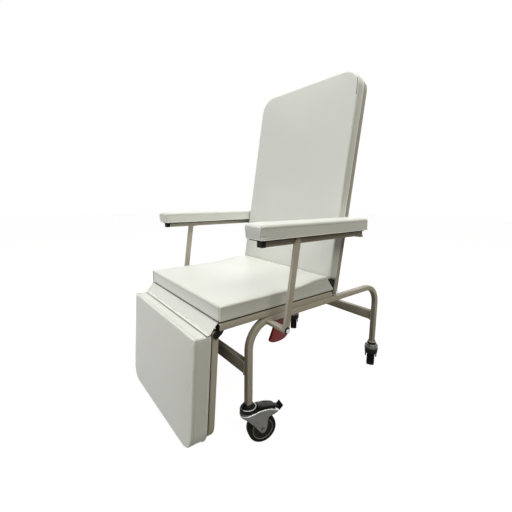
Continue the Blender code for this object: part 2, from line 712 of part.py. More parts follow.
def back_board():
    """The board, with its top corners cut back inside the cushion's round ones."""
    half = BACK_WIDTH / 2 - BOARD_INSET
    top = CUSHION_FOOT + BACK_LENGTH - BOARD_INSET
    foot = CUSHION_FOOT + BOARD_INSET
    radius = BACK_CORNER - BOARD_INSET
    outline = [(half, foot)]
    outline += arc((half - radius, top - radius), radius, 0, 90, HOOK_STEPS)
    outline += arc((radius - half, top - radius), radius, 90, 180, HOOK_STEPS)
    outline += [(-half, foot)]
    return plate(outline, PANEL_BOARD, FRONT_PLANE, (0, PANEL_FRONT - PANEL_BOARD / 2, 0))


def back_cushion():
    corners = (BACK_FOOT_CORNER, BACK_CORNER)
    mesh = cushion(BACK_WIDTH, BACK_LENGTH, BACK_THICKNESS, BACK_CROWN, corners, (11, 11, 3))
    return panel_cushion(mesh, CUSHION_FOOT, BACK_LENGTH)


for side_name, sign in SIDES.items():
    piece(f"back_side_tube_{side_name}", back_side_tube(sign), back, "paint", smooth=True)
piece("back_lower_tube", back_lower_tube(), back, "paint")
piece("back_board", back_board(), back, "board")
piece("back_cushion", back_cushion(), back, "vinyl", smooth=True)


# Leg rest

leg = frame("leg_pivot", root, LEG_PIVOT, lean=LEG_LEAN)
LEG_FOOT_LINE = LEG_CUSHION_RISE - LEG_LENGTH


def leg_side_tube(side):
    bottom_line = LEG_FOOT_LINE + FRAME_INSET + TUBE / 2
    radius = LEG_CORNER - FRAME_INSET - TUBE / 2
    mesh = hook(side, LEG_TUBE_X, LUG_RADIUS, bottom_line, radius)
    x_low, x_high = span(side, LEG_TUBE_X - TUBE, LEG_TUBE_X + TUBE)
    return cut(mesh, cylinder((x_low, 0, 0), (x_high, 0, 0), HOLE_RADIUS))


def leg_top_tube():
    """The cross tube that carries the push rod's lug."""
    reach = LEG_TUBE_X - TUBE / 2 - FIT
    bar = tube([(-reach, 0), (reach, 0)], FRONT_PLANE, (0, 0, -LEG_CROSS_TUBE))
    stud = local(leg, CRANK_VECTOR) * CRANK
    root_y = TUBE / 2 - WALL / 2
    outline = stadium((stud.y, stud.z), (root_y, -LEG_CROSS_TUBE), LUG_RADIUS)
    trim = box((-PLATE, -TUBE, -CRANK), (PLATE, root_y, 0))
    lug = cut(plate(outline, PLATE, SIDE_PLANE, (0, 0, 0)), trim)
    pin_end = -PLATE / 2 - RUN - ROD_EYE - RUN
    return join(bar, lug, cylinder((0, stud.y, stud.z), (pin_end, stud.y, stud.z), PIN_RADIUS))


def leg_board():
    """The board, with its lower corners cut back inside the cushion's round ones."""
    half = LEG_WIDTH / 2 - BOARD_INSET
    foot = LEG_FOOT_LINE + BOARD_INSET
    top = LEG_CUSHION_RISE - BOARD_INSET
    radius = LEG_CORNER - BOARD_INSET
    outline = [(half, top), (-half, top)]
    outline += arc((radius - half, foot + radius), radius, 180, 270, HOOK_STEPS)
    outline += arc((half - radius, foot + radius), radius, 270, 360, HOOK_STEPS)
    return plate(outline, PANEL_BOARD, FRONT_PLANE, (0, PANEL_FRONT - PANEL_BOARD / 2, 0))


def leg_cushion():
    corners = (LEG_CORNER, LEG_HEAD_CORNER)
    mesh = cushion(LEG_WIDTH, LEG_LENGTH, LEG_THICKNESS, LEG_CROWN, corners, (11, 9, 3))
    return panel_cushion(mesh, LEG_FOOT_LINE, LEG_LENGTH)


for side_name, sign in SIDES.items():
    piece(f"leg_side_tube_{side_name}", leg_side_tube(sign), leg, "paint", smooth=True)
piece("leg_top_tube", leg_top_tube(), leg, "paint")
piece("leg_board", leg_board(), leg, "board")
piece("leg_cushion", leg_cushion(), leg, "vinyl", smooth=True)


# Push rod, gas spring rod and release lever

def push_rod():
    """A rod with flat eyes, from the backrest's stud at the origin to the leg rest's."""
    reach = LEG_PIVOT - BACK_PIVOT
    x = -PLATE / 2 - RUN - ROD_EYE / 2
    along = reach.normalized()
    eyes = []
    for end in (Vector(), reach):
        hole = ((end.y, end.z), HOLE_RADIUS)
        outline = arc((end.y, end.z), LUG_RADIUS, 0, 360, ROUND_SIDES)[:-1]
        eyes.append(plate(outline, ROD_EYE, SIDE_PLANE, (x, 0, 0), [hole]))
    inset = along * (LUG_RADIUS - WALL)
    bar_start = Vector((x, 0, 0)) + inset
    bar = cylinder(bar_start, Vector((x, 0, 0)) + reach - inset, ROD_RADIUS, 12)
    trims = []
    for edge in (ROD_EYE / 2, -ROD_EYE / 2 - ROD_RADIUS):
        for end in (Vector(), reach):
            low = (x + edge, end.y - LUG_RADIUS * 2, end.z - LUG_RADIUS * 2)
            high = (x + edge + ROD_RADIUS, end.y + LUG_RADIUS * 2, end.z + LUG_RADIUS * 2)
            trims.append(box(low, high))
    return join(cut(bar, *trims), *eyes)


def gas_rod():
    """The gas spring's rod, with a fork end whose pin runs in the backrest's slotted lug."""
    end = SPRING_PIN - BACK_PIVOT.y
    stroke = 2 * SPRING_DROP * math.tan(HALF_TURN)
    start = BRACKET_WEB + PLATE + SPRING_LENGTH - stroke / 2 - BACK_PIVOT.y
    level = -SPRING_DROP
    rod = cylinder((SPRING_X, start, level), (SPRING_X, end, level), SPRING_ROD_RADIUS)
    eye = cylinder((SPRING_X - LUG_RADIUS, end, level), (SPRING_X + LUG_RADIUS / 2, end, level), LUG_RADIUS)
    pin = cylinder((-PLATE, end, level), (SPRING_X, end, level), PIN_RADIUS)
    return join(eye, rod, pin)


def release_shaft():
    left = SPRING_X - BRACKET_HALF - PLATE
    return cylinder((left, 0, 0), (LEVER_X - FIT, 0, 0), SHAFT_RADIUS)


def release_lever():
    """A hanging paddle: a round head about the shaft, a hollowed front edge and a round foot."""
    outline = arc((0, 0), LEVER_HEAD, 0, 180, ROUND_SIDES // 2)
    foot_line = LEVER_ROUND - LEVER_LENGTH
    steps = 6
    for step in range(1, steps):
        share = step / steps
        straight = -LEVER_HEAD + (LEVER_HEAD - LEVER_FRONT) * share
        outline.append((straight + LEVER_HOLLOW * math.sin(math.pi * share), foot_line * share))
    half = (LEVER_FRONT + LEVER_REAR) / 2
    for across, down in arc((0, 0), 1, 180, 360, ROUND_SIDES // 2):
        outline.append((LEVER_REAR - half + half * across, foot_line + LEVER_ROUND * down))
    return plate(outline, LEVER_THICKNESS, SIDE_PLANE, (LEVER_X + LEVER_THICKNESS / 2, 0, 0))


rod_pivot = frame("push_rod_pivot", root, BACK_PIVOT + CRANK_VECTOR * CRANK)
piece("leg_push_rod", push_rod(), rod_pivot, "zinc", smooth=True)
spring_axis = frame("gas_rod_axis", root, BACK_PIVOT)
piece("gas_rod", gas_rod(), spring_axis, "steel", smooth=True)
lever_pivot = frame("lever_pivot", root, (0, BRACKET_WEB - SHAFT_AHEAD, RAIL_TOP - SHAFT_DROP))
piece("release_shaft", release_shaft(), lever_pivot, "steel", smooth=True)
piece("release_lever", release_lever(), lever_pivot, "red")


# Armrests

def front_post(side):
    """A flat bar with round ends and a hole at each pivot."""
    outline = stadium((0, 0), (0, POST_LENGTH), LUG_RADIUS)
    holes = [((0, 0), HOLE_RADIUS), ((0, POST_LENGTH), HOLE_RADIUS)]
    return plate(outline, POST_THICKNESS, SIDE_PLANE, (side * (POST_X + POST_THICKNESS / 2), 0, 0), holes)


def arm_rail(side):
    """The tube under the pad, its stud for the front post and its bracket on the backrest."""
    level = ARM_RAIL_Z - ARM_PIVOT.z
    front = PAD_FRONT + ARM_RAIL_FRONT - ARM_PIVOT.y
    rear = PAD_FRONT + PAD_LENGTH - ARM_RAIL_REAR - ARM_PIVOT.y
    bar = tube([(front, 0), (rear, 0)], SIDE_PLANE, (side * ARM_RAIL, 0, level))
    post_top = POST_FOOT + POST_VECTOR - ARM_PIVOT
    stud_in = (side * (ARM_RAIL + TUBE / 2 - WALL / 2), post_top.y, post_top.z)
    stud_out = (side * (POST_X + POST_THICKNESS + WALL), post_top.y, post_top.z)
    low = level - TUBE / 2 - ARM_STRIP
    tab_in = BACK_TUBE_X + TUBE / 2 + TAB_GAP
    outline = [(LUG_RADIUS, low)] + arc((0, 0), LUG_RADIUS, 0, 180, ROUND_SIDES // 2) + [(-LUG_RADIUS, low)]
    tab = plate(outline, ARM_STRIP, SIDE_PLANE, (side * (tab_in + ARM_STRIP / 2), 0, 0))
    strip_low = (-LUG_RADIUS, low)
    strip_high = (LUG_RADIUS, level - TUBE / 2 + WALL / 2)
    strip = side_box(side, tab_in, ARM_RAIL + TUBE / 2 - TUBE_CHAMFER, strip_low, strip_high)
    pin_in = (side * (BACK_TUBE_X - TUBE / 2 - WALL), 0, 0)
    pin = cylinder(pin_in, (side * (tab_in + ARM_STRIP / 2), 0, 0), PIN_RADIUS)
    return join(strip, tab, bar, cylinder(stud_in, stud_out, PIN_RADIUS), pin)


def arm_cap(side):
    """The plastic plug in the rail's front end."""
    level = ARM_RAIL_Z - ARM_PIVOT.z
    front = PAD_FRONT + ARM_RAIL_FRONT - ARM_PIVOT.y
    half = TUBE / 2
    plug = half - WALL - FIT
    face = side_box(side, ARM_RAIL - half, ARM_RAIL + half,
                    (front - CAP_LENGTH, level - half), (front - FIT, level + half))
    inside = side_box(side, ARM_RAIL - plug + TUBE_CHAMFER, ARM_RAIL + plug - TUBE_CHAMFER,
                      (front - CAP_LENGTH / 2, level - plug), (front + CAP_PLUG, level + plug))
    return join(face, inside)


def arm_pad(side):
    mesh = cushion(PAD_WIDTH, PAD_LENGTH, PAD_THICKNESS, PAD_CROWN, (PAD_CORNER, PAD_CORNER), (5, 9, 3))
    middle = Vector((side * (PAD_INNER + PAD_WIDTH / 2), PAD_FRONT + PAD_LENGTH / 2, PAD_BOTTOM))
    mesh.transform(Matrix.Translation(middle - ARM_PIVOT))
    return mesh


for side_name, sign in SIDES.items():
    post = frame(f"post_pivot_{side_name}", root, POST_FOOT, lean=POST_LEAN)
    piece(f"front_post_{side_name}", front_post(sign), post, "paint")
    arm = frame(f"arm_pivot_{side_name}", root, ARM_PIVOT)
    piece(f"arm_rail_{side_name}", arm_rail(sign), arm, "paint")
    piece(f"arm_cap_{side_name}", arm_cap(sign), arm, "plastic")
    piece(f"arm_pad_{side_name}", arm_pad(sign), arm, "vinyl", smooth=True)


# Casters

def fork():
    """Two side plates under a flat top, the swivel head on it, and the axle."""
    waist = FORK_TOP - FORK_WAIST
    lip = FORK_TOP - FORK_LIP
    outline = arc((TRAIL, WHEEL_RADIUS), BOSS_RADIUS, 200, 350, 6)
    outline += [(TRAIL + BOSS_RADIUS * 1.35, waist), (FORK_TAIL, lip), (FORK_TAIL, FORK_TOP)]
    outline += [(-HEAD_RADIUS, FORK_TOP), (-HEAD_RADIUS, lip), (TRAIL - BOSS_RADIUS * 3.3, waist)]
    half = FORK_INNER + FORK_PLATE / 2
    body = box((-HEAD_RADIUS, -half, FORK_TOP - FORK_PLATE), (FORK_TAIL, half, FORK_TOP))
    for sign in SIDES.values():
        body = join(body, plate(outline, FORK_PLATE, FRONT_PLANE, (0, sign * half, 0)))
    head = cylinder((0, 0, FORK_TOP - FORK_PLATE / 2), (0, 0, HEAD_TOP), HEAD_RADIUS, WHEEL_SIDES)
    pin_reach = FORK_OUTER + WALL
    axle_pin = cylinder((TRAIL, -pin_reach, WHEEL_RADIUS), (TRAIL, pin_reach, WHEEL_RADIUS), PIN_RADIUS)
    body = join(body, head, axle_pin)
    return cut(body, cylinder((0, 0, FORK_TOP - TUBE), (0, 0, HEAD_TOP + RUN), KINGPIN + RUN))


def stem():
    """The kingpin, its flange on the swivel head, a collar, and the pin in the leg's tube."""
    base = HEAD_TOP + FIT
    flange = base + (LEG_FOOT - base) / 2
    profile = [(0, LEG_FOOT + STEM_LENGTH), (STEM_PIN, LEG_FOOT + STEM_LENGTH), (STEM_PIN, LEG_FOOT - FIT)]
    profile += [(STEM_COLLAR, LEG_FOOT - FIT), (STEM_COLLAR, flange)]
    profile += [(STEM_FLANGE, flange), (STEM_FLANGE, base)]
    profile += [(KINGPIN, base), (KINGPIN, FORK_TOP - BOSS_RADIUS), (0, FORK_TOP - BOSS_RADIUS)]
    return turned(profile, ROUND_SIDES)


def upright(mesh):
    """Turn a wheel's axis from Z to Y."""
    mesh.transform(FRONT_PLANE)
    return mesh


def tyre():
    half = WHEEL_WIDTH / 2
    inner = WHEEL_RADIUS - TYRE_DEPTH
    flank = WHEEL_RADIUS - TYRE_SHOULDER
    flat = half - TYRE_SHOULDER
    mid = TYRE_SHOULDER * 0.3
    profile = [(inner, half), (flank, half), (WHEEL_RADIUS - mid, half - mid), (WHEEL_RADIUS, flat)]
    profile += [(WHEEL_RADIUS, -flat), (WHEEL_RADIUS - mid, mid - half), (flank, -half), (inner, -half)]
    return upright(turned(profile))


def hub():
    half = WHEEL_WIDTH / 2
    rim = WHEEL_RADIUS - TYRE_DEPTH - FIT
    dish = rim - TYRE_SHOULDER
    bore = PIN_RADIUS + RUN
    recess = half - TYRE_SHOULDER
    profile = [(bore, half), (BOSS_RADIUS, half), (BOSS_RADIUS, recess)]
    profile += [(dish, recess), (dish, half), (rim, half)]
    profile += [(rim, -half), (dish, -half), (dish, -recess), (BOSS_RADIUS, -recess), (BOSS_RADIUS, -half)]
    profile += [(bore, -half)]
    return upright(turned(profile))


def pedal():
    """A brake pedal: a yoke round the swivel head, and an arm that ends in a toe bar."""
    inside = HEAD_RADIUS + RUN * 3
    outside = inside + PEDAL_CHEEK
    rear = inside + PEDAL_CHEEK
    front = -HEAD_RADIUS / 2
    low = FORK_TOP + RUN * 3 - (LEG_FOOT - PEDAL_PIVOT_DROP)
    high = low + PEDAL_HEIGHT
    yoke = box((front, -outside, low), (rear, outside, high))
    slot = box((front - RUN, -inside, low - RUN), (inside, inside, high + RUN))
    toe_reach = PEDAL_TOE * math.sqrt(0.5)
    toe_x = PEDAL_TIP - toe_reach
    arm_outline = [(rear - RUN, low), (toe_x, low), (toe_x, low + PEDAL_TAIL), (rear - RUN, high)]
    arm_bar = plate(arm_outline, PEDAL_WIDTH, FRONT_PLANE, (0, 0, 0))
    toe_outline = arc((toe_x, low - PEDAL_TOE_DROP), toe_reach, 0, 270, 3)
    return join(cut(yoke, slot), arm_bar, plate(toe_outline, PEDAL_WIDTH - PLATE, FRONT_PLANE, (0, 0, 0)))


for place, heading in SWIVELS.items():
    end_name, side_name = place.split("_")
    stem_y = LEG_FRONT + TUBE / 2 if end_name == "front" else LEG_REAR - TUBE / 2
    foot = Vector((SIDES[side_name] * SIDE_X, stem_y, 0))
    swivel = frame(f"swivel_{place}", root, foot, swivel=math.radians(heading))
    piece(f"caster_stem_{place}", stem(), frame(f"stem_{place}", root, foot), "zinc", smooth=True)
    piece(f"caster_fork_{place}", fork(), swivel, "zinc")
    wheel = frame(f"axle_{place}", swivel, (TRAIL, 0, WHEEL_RADIUS))
    piece(f"caster_tyre_{place}", tyre(), wheel, "rubber", smooth=True)
    piece(f"caster_hub_{place}", hub(), wheel, "plastic", smooth=True)
    if end_name == "front":
        brake = frame(f"pedal_{place}", swivel, (0, 0, LEG_FOOT - PEDAL_PIVOT_DROP))
        piece(f"brake_pedal_{place}", pedal(), brake, "plastic")


# Centre the chair on the origin

bpy.context.view_layer.update()
solids = [obj for obj in chair.objects if obj.type == "MESH"]
reaches = [(obj.matrix_world @ vert.co).y for obj in solids for vert in obj.data.vertices]
root.location.y = -(min(reaches) + max(reaches)) / 2
bpy.context.view_layer.update()
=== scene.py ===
# %% [markdown]
# # Patient recliner chair
# The chair is a welded tube frame on casters with five padded pieces on it. The engineering model gives every
# part its place. This notebook keeps that model as a fixed frame and builds the looks around it: sewn cushions,
# seams and stitches, welds, smooth casters and the finishes.

# %% Load the frame
import json
import math

import bmesh
import bpy
from mathutils import Matrix, Vector, noise

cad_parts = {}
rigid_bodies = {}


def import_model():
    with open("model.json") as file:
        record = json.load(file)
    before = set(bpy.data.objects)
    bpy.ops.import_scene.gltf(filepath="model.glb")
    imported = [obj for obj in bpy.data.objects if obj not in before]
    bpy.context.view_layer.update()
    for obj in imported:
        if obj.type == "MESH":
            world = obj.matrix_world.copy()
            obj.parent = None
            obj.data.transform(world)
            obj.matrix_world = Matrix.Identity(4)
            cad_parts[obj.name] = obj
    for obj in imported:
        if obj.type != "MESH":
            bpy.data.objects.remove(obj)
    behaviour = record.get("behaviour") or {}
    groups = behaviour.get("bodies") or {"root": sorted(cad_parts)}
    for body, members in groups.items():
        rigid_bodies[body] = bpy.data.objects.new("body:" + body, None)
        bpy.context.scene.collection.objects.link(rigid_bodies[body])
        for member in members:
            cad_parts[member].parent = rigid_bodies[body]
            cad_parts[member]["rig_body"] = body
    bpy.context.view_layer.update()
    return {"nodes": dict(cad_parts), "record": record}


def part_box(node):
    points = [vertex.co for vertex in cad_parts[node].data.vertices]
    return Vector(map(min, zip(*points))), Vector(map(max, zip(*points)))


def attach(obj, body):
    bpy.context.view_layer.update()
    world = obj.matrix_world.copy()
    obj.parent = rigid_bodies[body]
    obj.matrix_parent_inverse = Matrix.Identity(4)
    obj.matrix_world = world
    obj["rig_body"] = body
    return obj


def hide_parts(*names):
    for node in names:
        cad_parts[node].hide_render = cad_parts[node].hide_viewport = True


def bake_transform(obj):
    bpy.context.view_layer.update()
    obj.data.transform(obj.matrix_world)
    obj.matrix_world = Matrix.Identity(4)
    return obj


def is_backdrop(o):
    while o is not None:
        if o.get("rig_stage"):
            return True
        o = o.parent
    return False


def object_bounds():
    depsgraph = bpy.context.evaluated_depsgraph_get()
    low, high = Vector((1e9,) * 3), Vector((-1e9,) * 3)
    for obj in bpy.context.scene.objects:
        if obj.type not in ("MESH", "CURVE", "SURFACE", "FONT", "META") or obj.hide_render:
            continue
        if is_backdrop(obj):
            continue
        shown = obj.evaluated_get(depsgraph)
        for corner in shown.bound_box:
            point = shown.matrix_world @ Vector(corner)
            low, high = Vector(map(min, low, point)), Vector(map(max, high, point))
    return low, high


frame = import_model()
nodes = frame["nodes"]
scene = bpy.context.scene

# %% [markdown]
# The frame's own sizes come back from the loaded parts, so that nothing is typed twice. Only the angles at which
# the panels lean, and a few sizes that a box does not show, are named here.

# %% Places and sizes
MM = 0.001
BACK_LEAN = math.radians(8.8)
LEG_LEAN = math.radians(3.7)
TUBE = 0.020


def corners_of(node):
    """The low and the high corner of a part's box."""
    low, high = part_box(node)
    return Vector(low), Vector(high)


def middle(node):
    low, high = corners_of(node)
    return (low + high) / 2


def pivot(node):
    """The middle of a pin or bolt, brought to the chair's own middle plane."""
    place = middle(node)
    return Vector((0, place.y, place.z))


def eased(share):
    """A soft step from 0 to 1."""
    share = min(max(share, 0), 1)
    return share * share * (3 - 2 * share)


def placed(name, data):
    """A new object in the scene."""
    obj = bpy.data.objects.new(name, data)
    scene.collection.objects.link(obj)
    return obj


def new_mesh(name, points, faces, edges=()):
    mesh = bpy.data.meshes.new(name)
    mesh.from_pydata([tuple(point) for point in points], edges, faces)
    return mesh


SEAT_LOW = corners_of("seat_cushion")[0]
SEAT_FRONT = SEAT_LOW.y
BACK_PIVOT = pivot("back_hinge_bolt_left")
LEG_PIVOT = Vector((0, SEAT_FRONT - 2 * MM, BACK_PIVOT.z - 30 * MM))
POST_FOOT = pivot("post_bolt_left")
print("seat front", round(SEAT_FRONT, 4), "backrest axis", [round(c, 4) for c in BACK_PIVOT])

# %% [markdown]
# The camera stands where the photographer stood: in front of the chair, on its left, at chest height, with a
# fairly wide lens. Its place was fitted to points of the frame, so the drawing of the render matches the picture.

# %% Camera
CAMERA_PLACE = (0.9094, -0.7859, 0.7588)
YAW = 0.899
PITCH = 0.160
ROLL = 0.010
SENSOR = 36.0
FOCAL_SHARE = 303.682 / 512
SHIFT = (-0.00353, -0.02159)

ahead = Vector((-math.sin(YAW), math.cos(YAW), 0))
aside = Vector((math.cos(YAW), math.sin(YAW), 0))
upward = Vector((0, 0, 1))
look = math.cos(PITCH) * ahead - math.sin(PITCH) * upward
lifted = math.cos(PITCH) * upward + math.sin(PITCH) * ahead
right = math.cos(ROLL) * aside + math.sin(ROLL) * lifted
top = math.cos(ROLL) * lifted - math.sin(ROLL) * aside
camera_data = bpy.data.cameras.new("camera")
camera_data.sensor_width = SENSOR
camera_data.lens = FOCAL_SHARE * SENSOR
camera_data.shift_x, camera_data.shift_y = SHIFT
camera = placed("camera", camera_data)
turn = Matrix((right, top, -look)).transposed().to_4x4()
camera.matrix_world = Matrix.Translation(CAMERA_PLACE) @ turn
scene.camera = camera
scene.view_settings.view_transform = "Standard"

# %% [markdown]
# The studio is a white room: a large soft box overhead, two in front, a warm one high on the right, one behind for
# the views from there, and a weak sky that fills the shadows. The camera sees the sky and most of the floor as white
# paper, while the chair is lit by something darker and warmer. That is how a product shot keeps its grey sides on a
# white page.

# %% Studio
SKY = 0.16
SKY_TINT = (1.0, 0.985, 0.92)
WARM = (1.0, 0.965, 0.85)
NEUTRAL = (1.0, 1.0, 1.0)
FLOOR_TINT = (0.12, 0.105, 0.080)
PAPER_TINT = (0.9, 0.9, 0.9)
PAPER = 0.86
PAPER_GLOW = 1.12
FLOOR_REACH = 12.0
FLOOR_DROP = 0.3 * MM


def link(tree, source, target):
    tree.links.new(source, target)


def wired(tree, kind, inputs, **settings):
    """A new node. Each input gets a value, or another node's output to follow."""
    node = tree.nodes.new(kind)
    for label, value in settings.items():
        setattr(node, label, value)
    for key, value in inputs.items():
        if isinstance(value, bpy.types.NodeSocket):
            link(tree, value, node.inputs[key])
        else:
            node.inputs[key].default_value = value
    return node


def arithmetic(tree, operation, first, second):
    return wired(tree, "ShaderNodeMath", {0: first, 1: second}, operation=operation).outputs[0]


def blend_colours(tree, mask, first, second):
    first, second = ((*value, 1) if isinstance(value, tuple) else value for value in (first, second))
    return wired(tree, "ShaderNodeMix", {"Factor": mask, 6: first, 7: second}, data_type="RGBA").outputs[2]


def seen_directly(tree):
    """1 for what the camera sees, directly, in a mirror or through glass."""
    rays = tree.nodes.new("ShaderNodeLightPath").outputs
    either = arithmetic(tree, "MAXIMUM", rays["Is Camera Ray"], rays["Is Glossy Ray"])
    return arithmetic(tree, "MAXIMUM", either, rays["Is Transmission Ray"])


world = bpy.data.worlds.new("studio")
world.use_nodes = True
scene.world = world
sky_tree = world.node_tree
background = sky_tree.nodes["Background"]
sky_light = tuple(SKY * part for part in SKY_TINT)
link(sky_tree, blend_colours(sky_tree, seen_directly(sky_tree), sky_light, (1, 1, 1)), background.inputs["Color"])
background.inputs["Strength"].default_value = 1.0

floor_corners = [(x * FLOOR_REACH, y * FLOOR_REACH, 0) for x, y in ((-1, -1), (1, -1), (1, 1), (-1, 1))]
floor_mesh = new_mesh("floor", floor_corners, [(0, 1, 2, 3)])
floor = placed("floor", floor_mesh)
floor.location.z = -FLOOR_DROP
paper = bpy.data.materials.new("paper")
paper.use_nodes = True
tree = paper.node_tree
tree.nodes.remove(tree.nodes["Principled BSDF"])
seen = seen_directly(tree)
matt = wired(tree, "ShaderNodeBsdfDiffuse", {"Color": blend_colours(tree, seen, FLOOR_TINT, PAPER_TINT)})
glow = wired(tree, "ShaderNodeEmission", {"Strength": PAPER_GLOW})
both = wired(tree, "ShaderNodeMixShader", {"Fac": arithmetic(tree, "MULTIPLY", seen, PAPER), 1: matt.outputs[0],
                                           2: glow.outputs[0]})
link(tree, both.outputs[0], tree.nodes["Material Output"].inputs["Surface"])
floor_mesh.materials.append(paper)
floor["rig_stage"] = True


def soft_box(name, place, target, size, power, tint=NEUTRAL):
    lamp = bpy.data.lights.new(name, "AREA")
    lamp.color = tint
    lamp.shape = "DISK"
    lamp.size = size
    lamp.energy = power
    heading = (Vector(target) - Vector(place)).to_track_quat("-Z", "Y")
    placed(name, lamp).matrix_world = Matrix.Translation(place) @ heading.to_matrix().to_4x4()


soft_box("overhead", (0.1, -0.1, 3.0), (0, 0, 0.4), 2.2, 42.0)
soft_box("front", (-0.7, -2.7, 2.0), (0, 0, 0.5), 1.6, 15.0)
soft_box("front_low", (-0.5, -2.4, 0.35), (0, -0.4, 0.25), 1.0, 10.0)
soft_box("right", (4.2, -0.5, 5.0), (0.2, 0, 0.5), 3.0, 112.0, WARM)
soft_box("behind", (-2.6, 2.8, 1.7), (0, 0, 0.5), 2.2, 30.0)

# %% [markdown]
# Small effects that several finishes share are made once, as shader node groups. Each group only gives values: a
# height for the bump, or a mask. The shader itself stays in the material, where its gloss and metal are set.

# %% Shared shader groups


FLOAT = "NodeSocketFloat"
VECTOR = "NodeSocketVector"


def group(name, label, value, result):
    """A shader group that takes a place and one number, and gives one number."""
    tree = bpy.data.node_groups.new(name, "ShaderNodeTree")
    for item, kind, start in (("Vector", VECTOR, (0, 0, 0)), (label, FLOAT, value)):
        tree.interface.new_socket(item, in_out="INPUT", socket_type=kind).default_value = start
    tree.interface.new_socket(result, in_out="OUTPUT", socket_type=FLOAT)
    return tree, tree.nodes.new("NodeGroupInput").outputs, tree.nodes.new("NodeGroupOutput").inputs[result]


grain_tree, given, height = group("grain", "Scale", 500.0, "Height")
spread = {"Vector": given["Vector"], "Scale": given["Scale"]}
pebbles = wired(grain_tree, "ShaderNodeTexVoronoi", spread)
fibres = wired(grain_tree, "ShaderNodeTexNoise", {**spread, "Detail": 3.0})
soft_pebbles = arithmetic(grain_tree, "MULTIPLY", pebbles.outputs["Distance"], 0.6)
link(grain_tree, arithmetic(grain_tree, "ADD", soft_pebbles, fibres.outputs["Fac"]), height)

use_tree, given, mask = group("handling", "Scale", 6.0, "Mask")
wide = wired(use_tree, "ShaderNodeTexNoise", {"Vector": given["Vector"], "Scale": given["Scale"], "Detail": 5.0,
                                              "Roughness": 0.6})
ramp = wired(use_tree, "ShaderNodeMapRange", {"Value": wide.outputs["Fac"], "From Min": 0.35, "From Max": 0.75})
link(use_tree, ramp.outputs["Result"], mask)

dust_tree, given, mask = group("dust", "Amount", 0.2, "Mask")
facing = dust_tree.nodes.new("ShaderNodeNewGeometry").outputs["Normal"]
upper = arithmetic(dust_tree, "MAXIMUM", wired(dust_tree, "ShaderNodeSeparateXYZ", {0: facing}).outputs["Z"], 0.0)
motes = wired(dust_tree, "ShaderNodeTexNoise", {"Vector": given["Vector"], "Scale": 45.0, "Detail": 4.0})
speckled = arithmetic(dust_tree, "MULTIPLY", upper, motes.outputs["Fac"])
link(dust_tree, arithmetic(dust_tree, "MULTIPLY", speckled, given["Amount"]), mask)

# %% [markdown]
# Every finish is one recipe with different numbers: a colour that drifts a little towards a second one where it
# is handled, a gloss that follows the same mask, dust on what faces up, and a fine relief. Vinyl has a pebbled
# leather grain, powder coat a shallow orange peel, zinc a fine crystalline spangle. Shine is how strongly the
# surface mirrors the room; black plastic and rubber get little of it, or they would look grey in a white room.

# %% Finishes


BUMP_STRENGTH = 0.6


def finish(name, colour, used, gloss, grain_scale, relief, metal=0.0, drift=7.0, dust=0.15, shine=0.5):
    """gloss is the roughness where unused and where handled; relief is the grain's height in millimetres."""
    material = bpy.data.materials.new(name)
    material.use_nodes = True
    tree = material.node_tree
    shader = tree.nodes["Principled BSDF"]
    place = tree.nodes.new("ShaderNodeTexCoord").outputs["Object"]

    def shared(which, **number):
        return wired(tree, "ShaderNodeGroup", {"Vector": place, **number}, node_tree=which).outputs[0]

    worn = shared(use_tree, Scale=drift)
    pale = tuple(0.5 * c + 0.25 for c in colour)
    dusted = blend_colours(tree, shared(dust_tree, Amount=dust), blend_colours(tree, worn, colour, used), pale)
    rough = wired(tree, "ShaderNodeMapRange", {"Value": worn, "To Min": gloss[0], "To Max": gloss[1]})
    bump = wired(tree, "ShaderNodeBump", {"Height": shared(grain_tree, Scale=grain_scale), "Distance": relief * MM,
                                          "Strength": BUMP_STRENGTH})
    link(tree, dusted, shader.inputs["Base Color"])
    link(tree, rough.outputs["Result"], shader.inputs["Roughness"])
    link(tree, bump.outputs["Normal"], shader.inputs["Normal"])
    shader.inputs["Metallic"].default_value = metal
    shader.inputs["Specular IOR Level"].default_value = shine
    return material


VINYL = finish("vinyl", (0.80, 0.815, 0.765), (0.77, 0.785, 0.735), (0.46, 0.40), 620, 0.12, drift=4.0, dust=0.0,
               shine=0.4)
# A lighter copy of the vinyl for the piping, the corner welts and the gathers: a painted highlight on raised cords.
VINYL_PAINTED_HIGHLIGHT = finish("piping", (0.93, 0.93, 0.89), (0.89, 0.89, 0.85), (0.42, 0.36), 700, 0.08, drift=9.0, dust=0.0)
THREAD = finish("thread", (0.62, 0.61, 0.56), (0.54, 0.53, 0.48), (0.75, 0.65), 2400, 0.10, drift=30.0, dust=0.0)
# Near-black cords: dark thread for the flap's stitches, and painted shade in the seams, at the seat's foot and in the
# gaps round the backrest's and leg rest's covers.
DARK_THREAD_AND_SHADE = finish("dark_thread_and_painted_shade", (0.035, 0.031, 0.024), (0.050, 0.045, 0.036), (0.85, 0.75), 2400, 0.10,
                     drift=30.0, dust=0.0, shine=0.05)
PAINT = finish("frame_paint", (0.64, 0.60, 0.505), (0.59, 0.55, 0.46), (0.36, 0.46), 800, 0.05, dust=0.12, shine=0.03)
# Near-black paint: the own finish of the dark parts, and painted shade on the rear forks, the hinge plates, the
# gussets and the washers.
DARK_PAINT_AND_SHADE = finish("dark_paint", (0.016, 0.014, 0.012), (0.011, 0.010, 0.008), (0.40, 0.52), 700, 0.05, dust=0.03,
                    shine=0.08)
PLASTIC = finish("black_plastic", (0.008, 0.008, 0.008), (0.013, 0.013, 0.012), (0.30, 0.42), 1100, 0.05, dust=0.03,
                 shine=0.09)
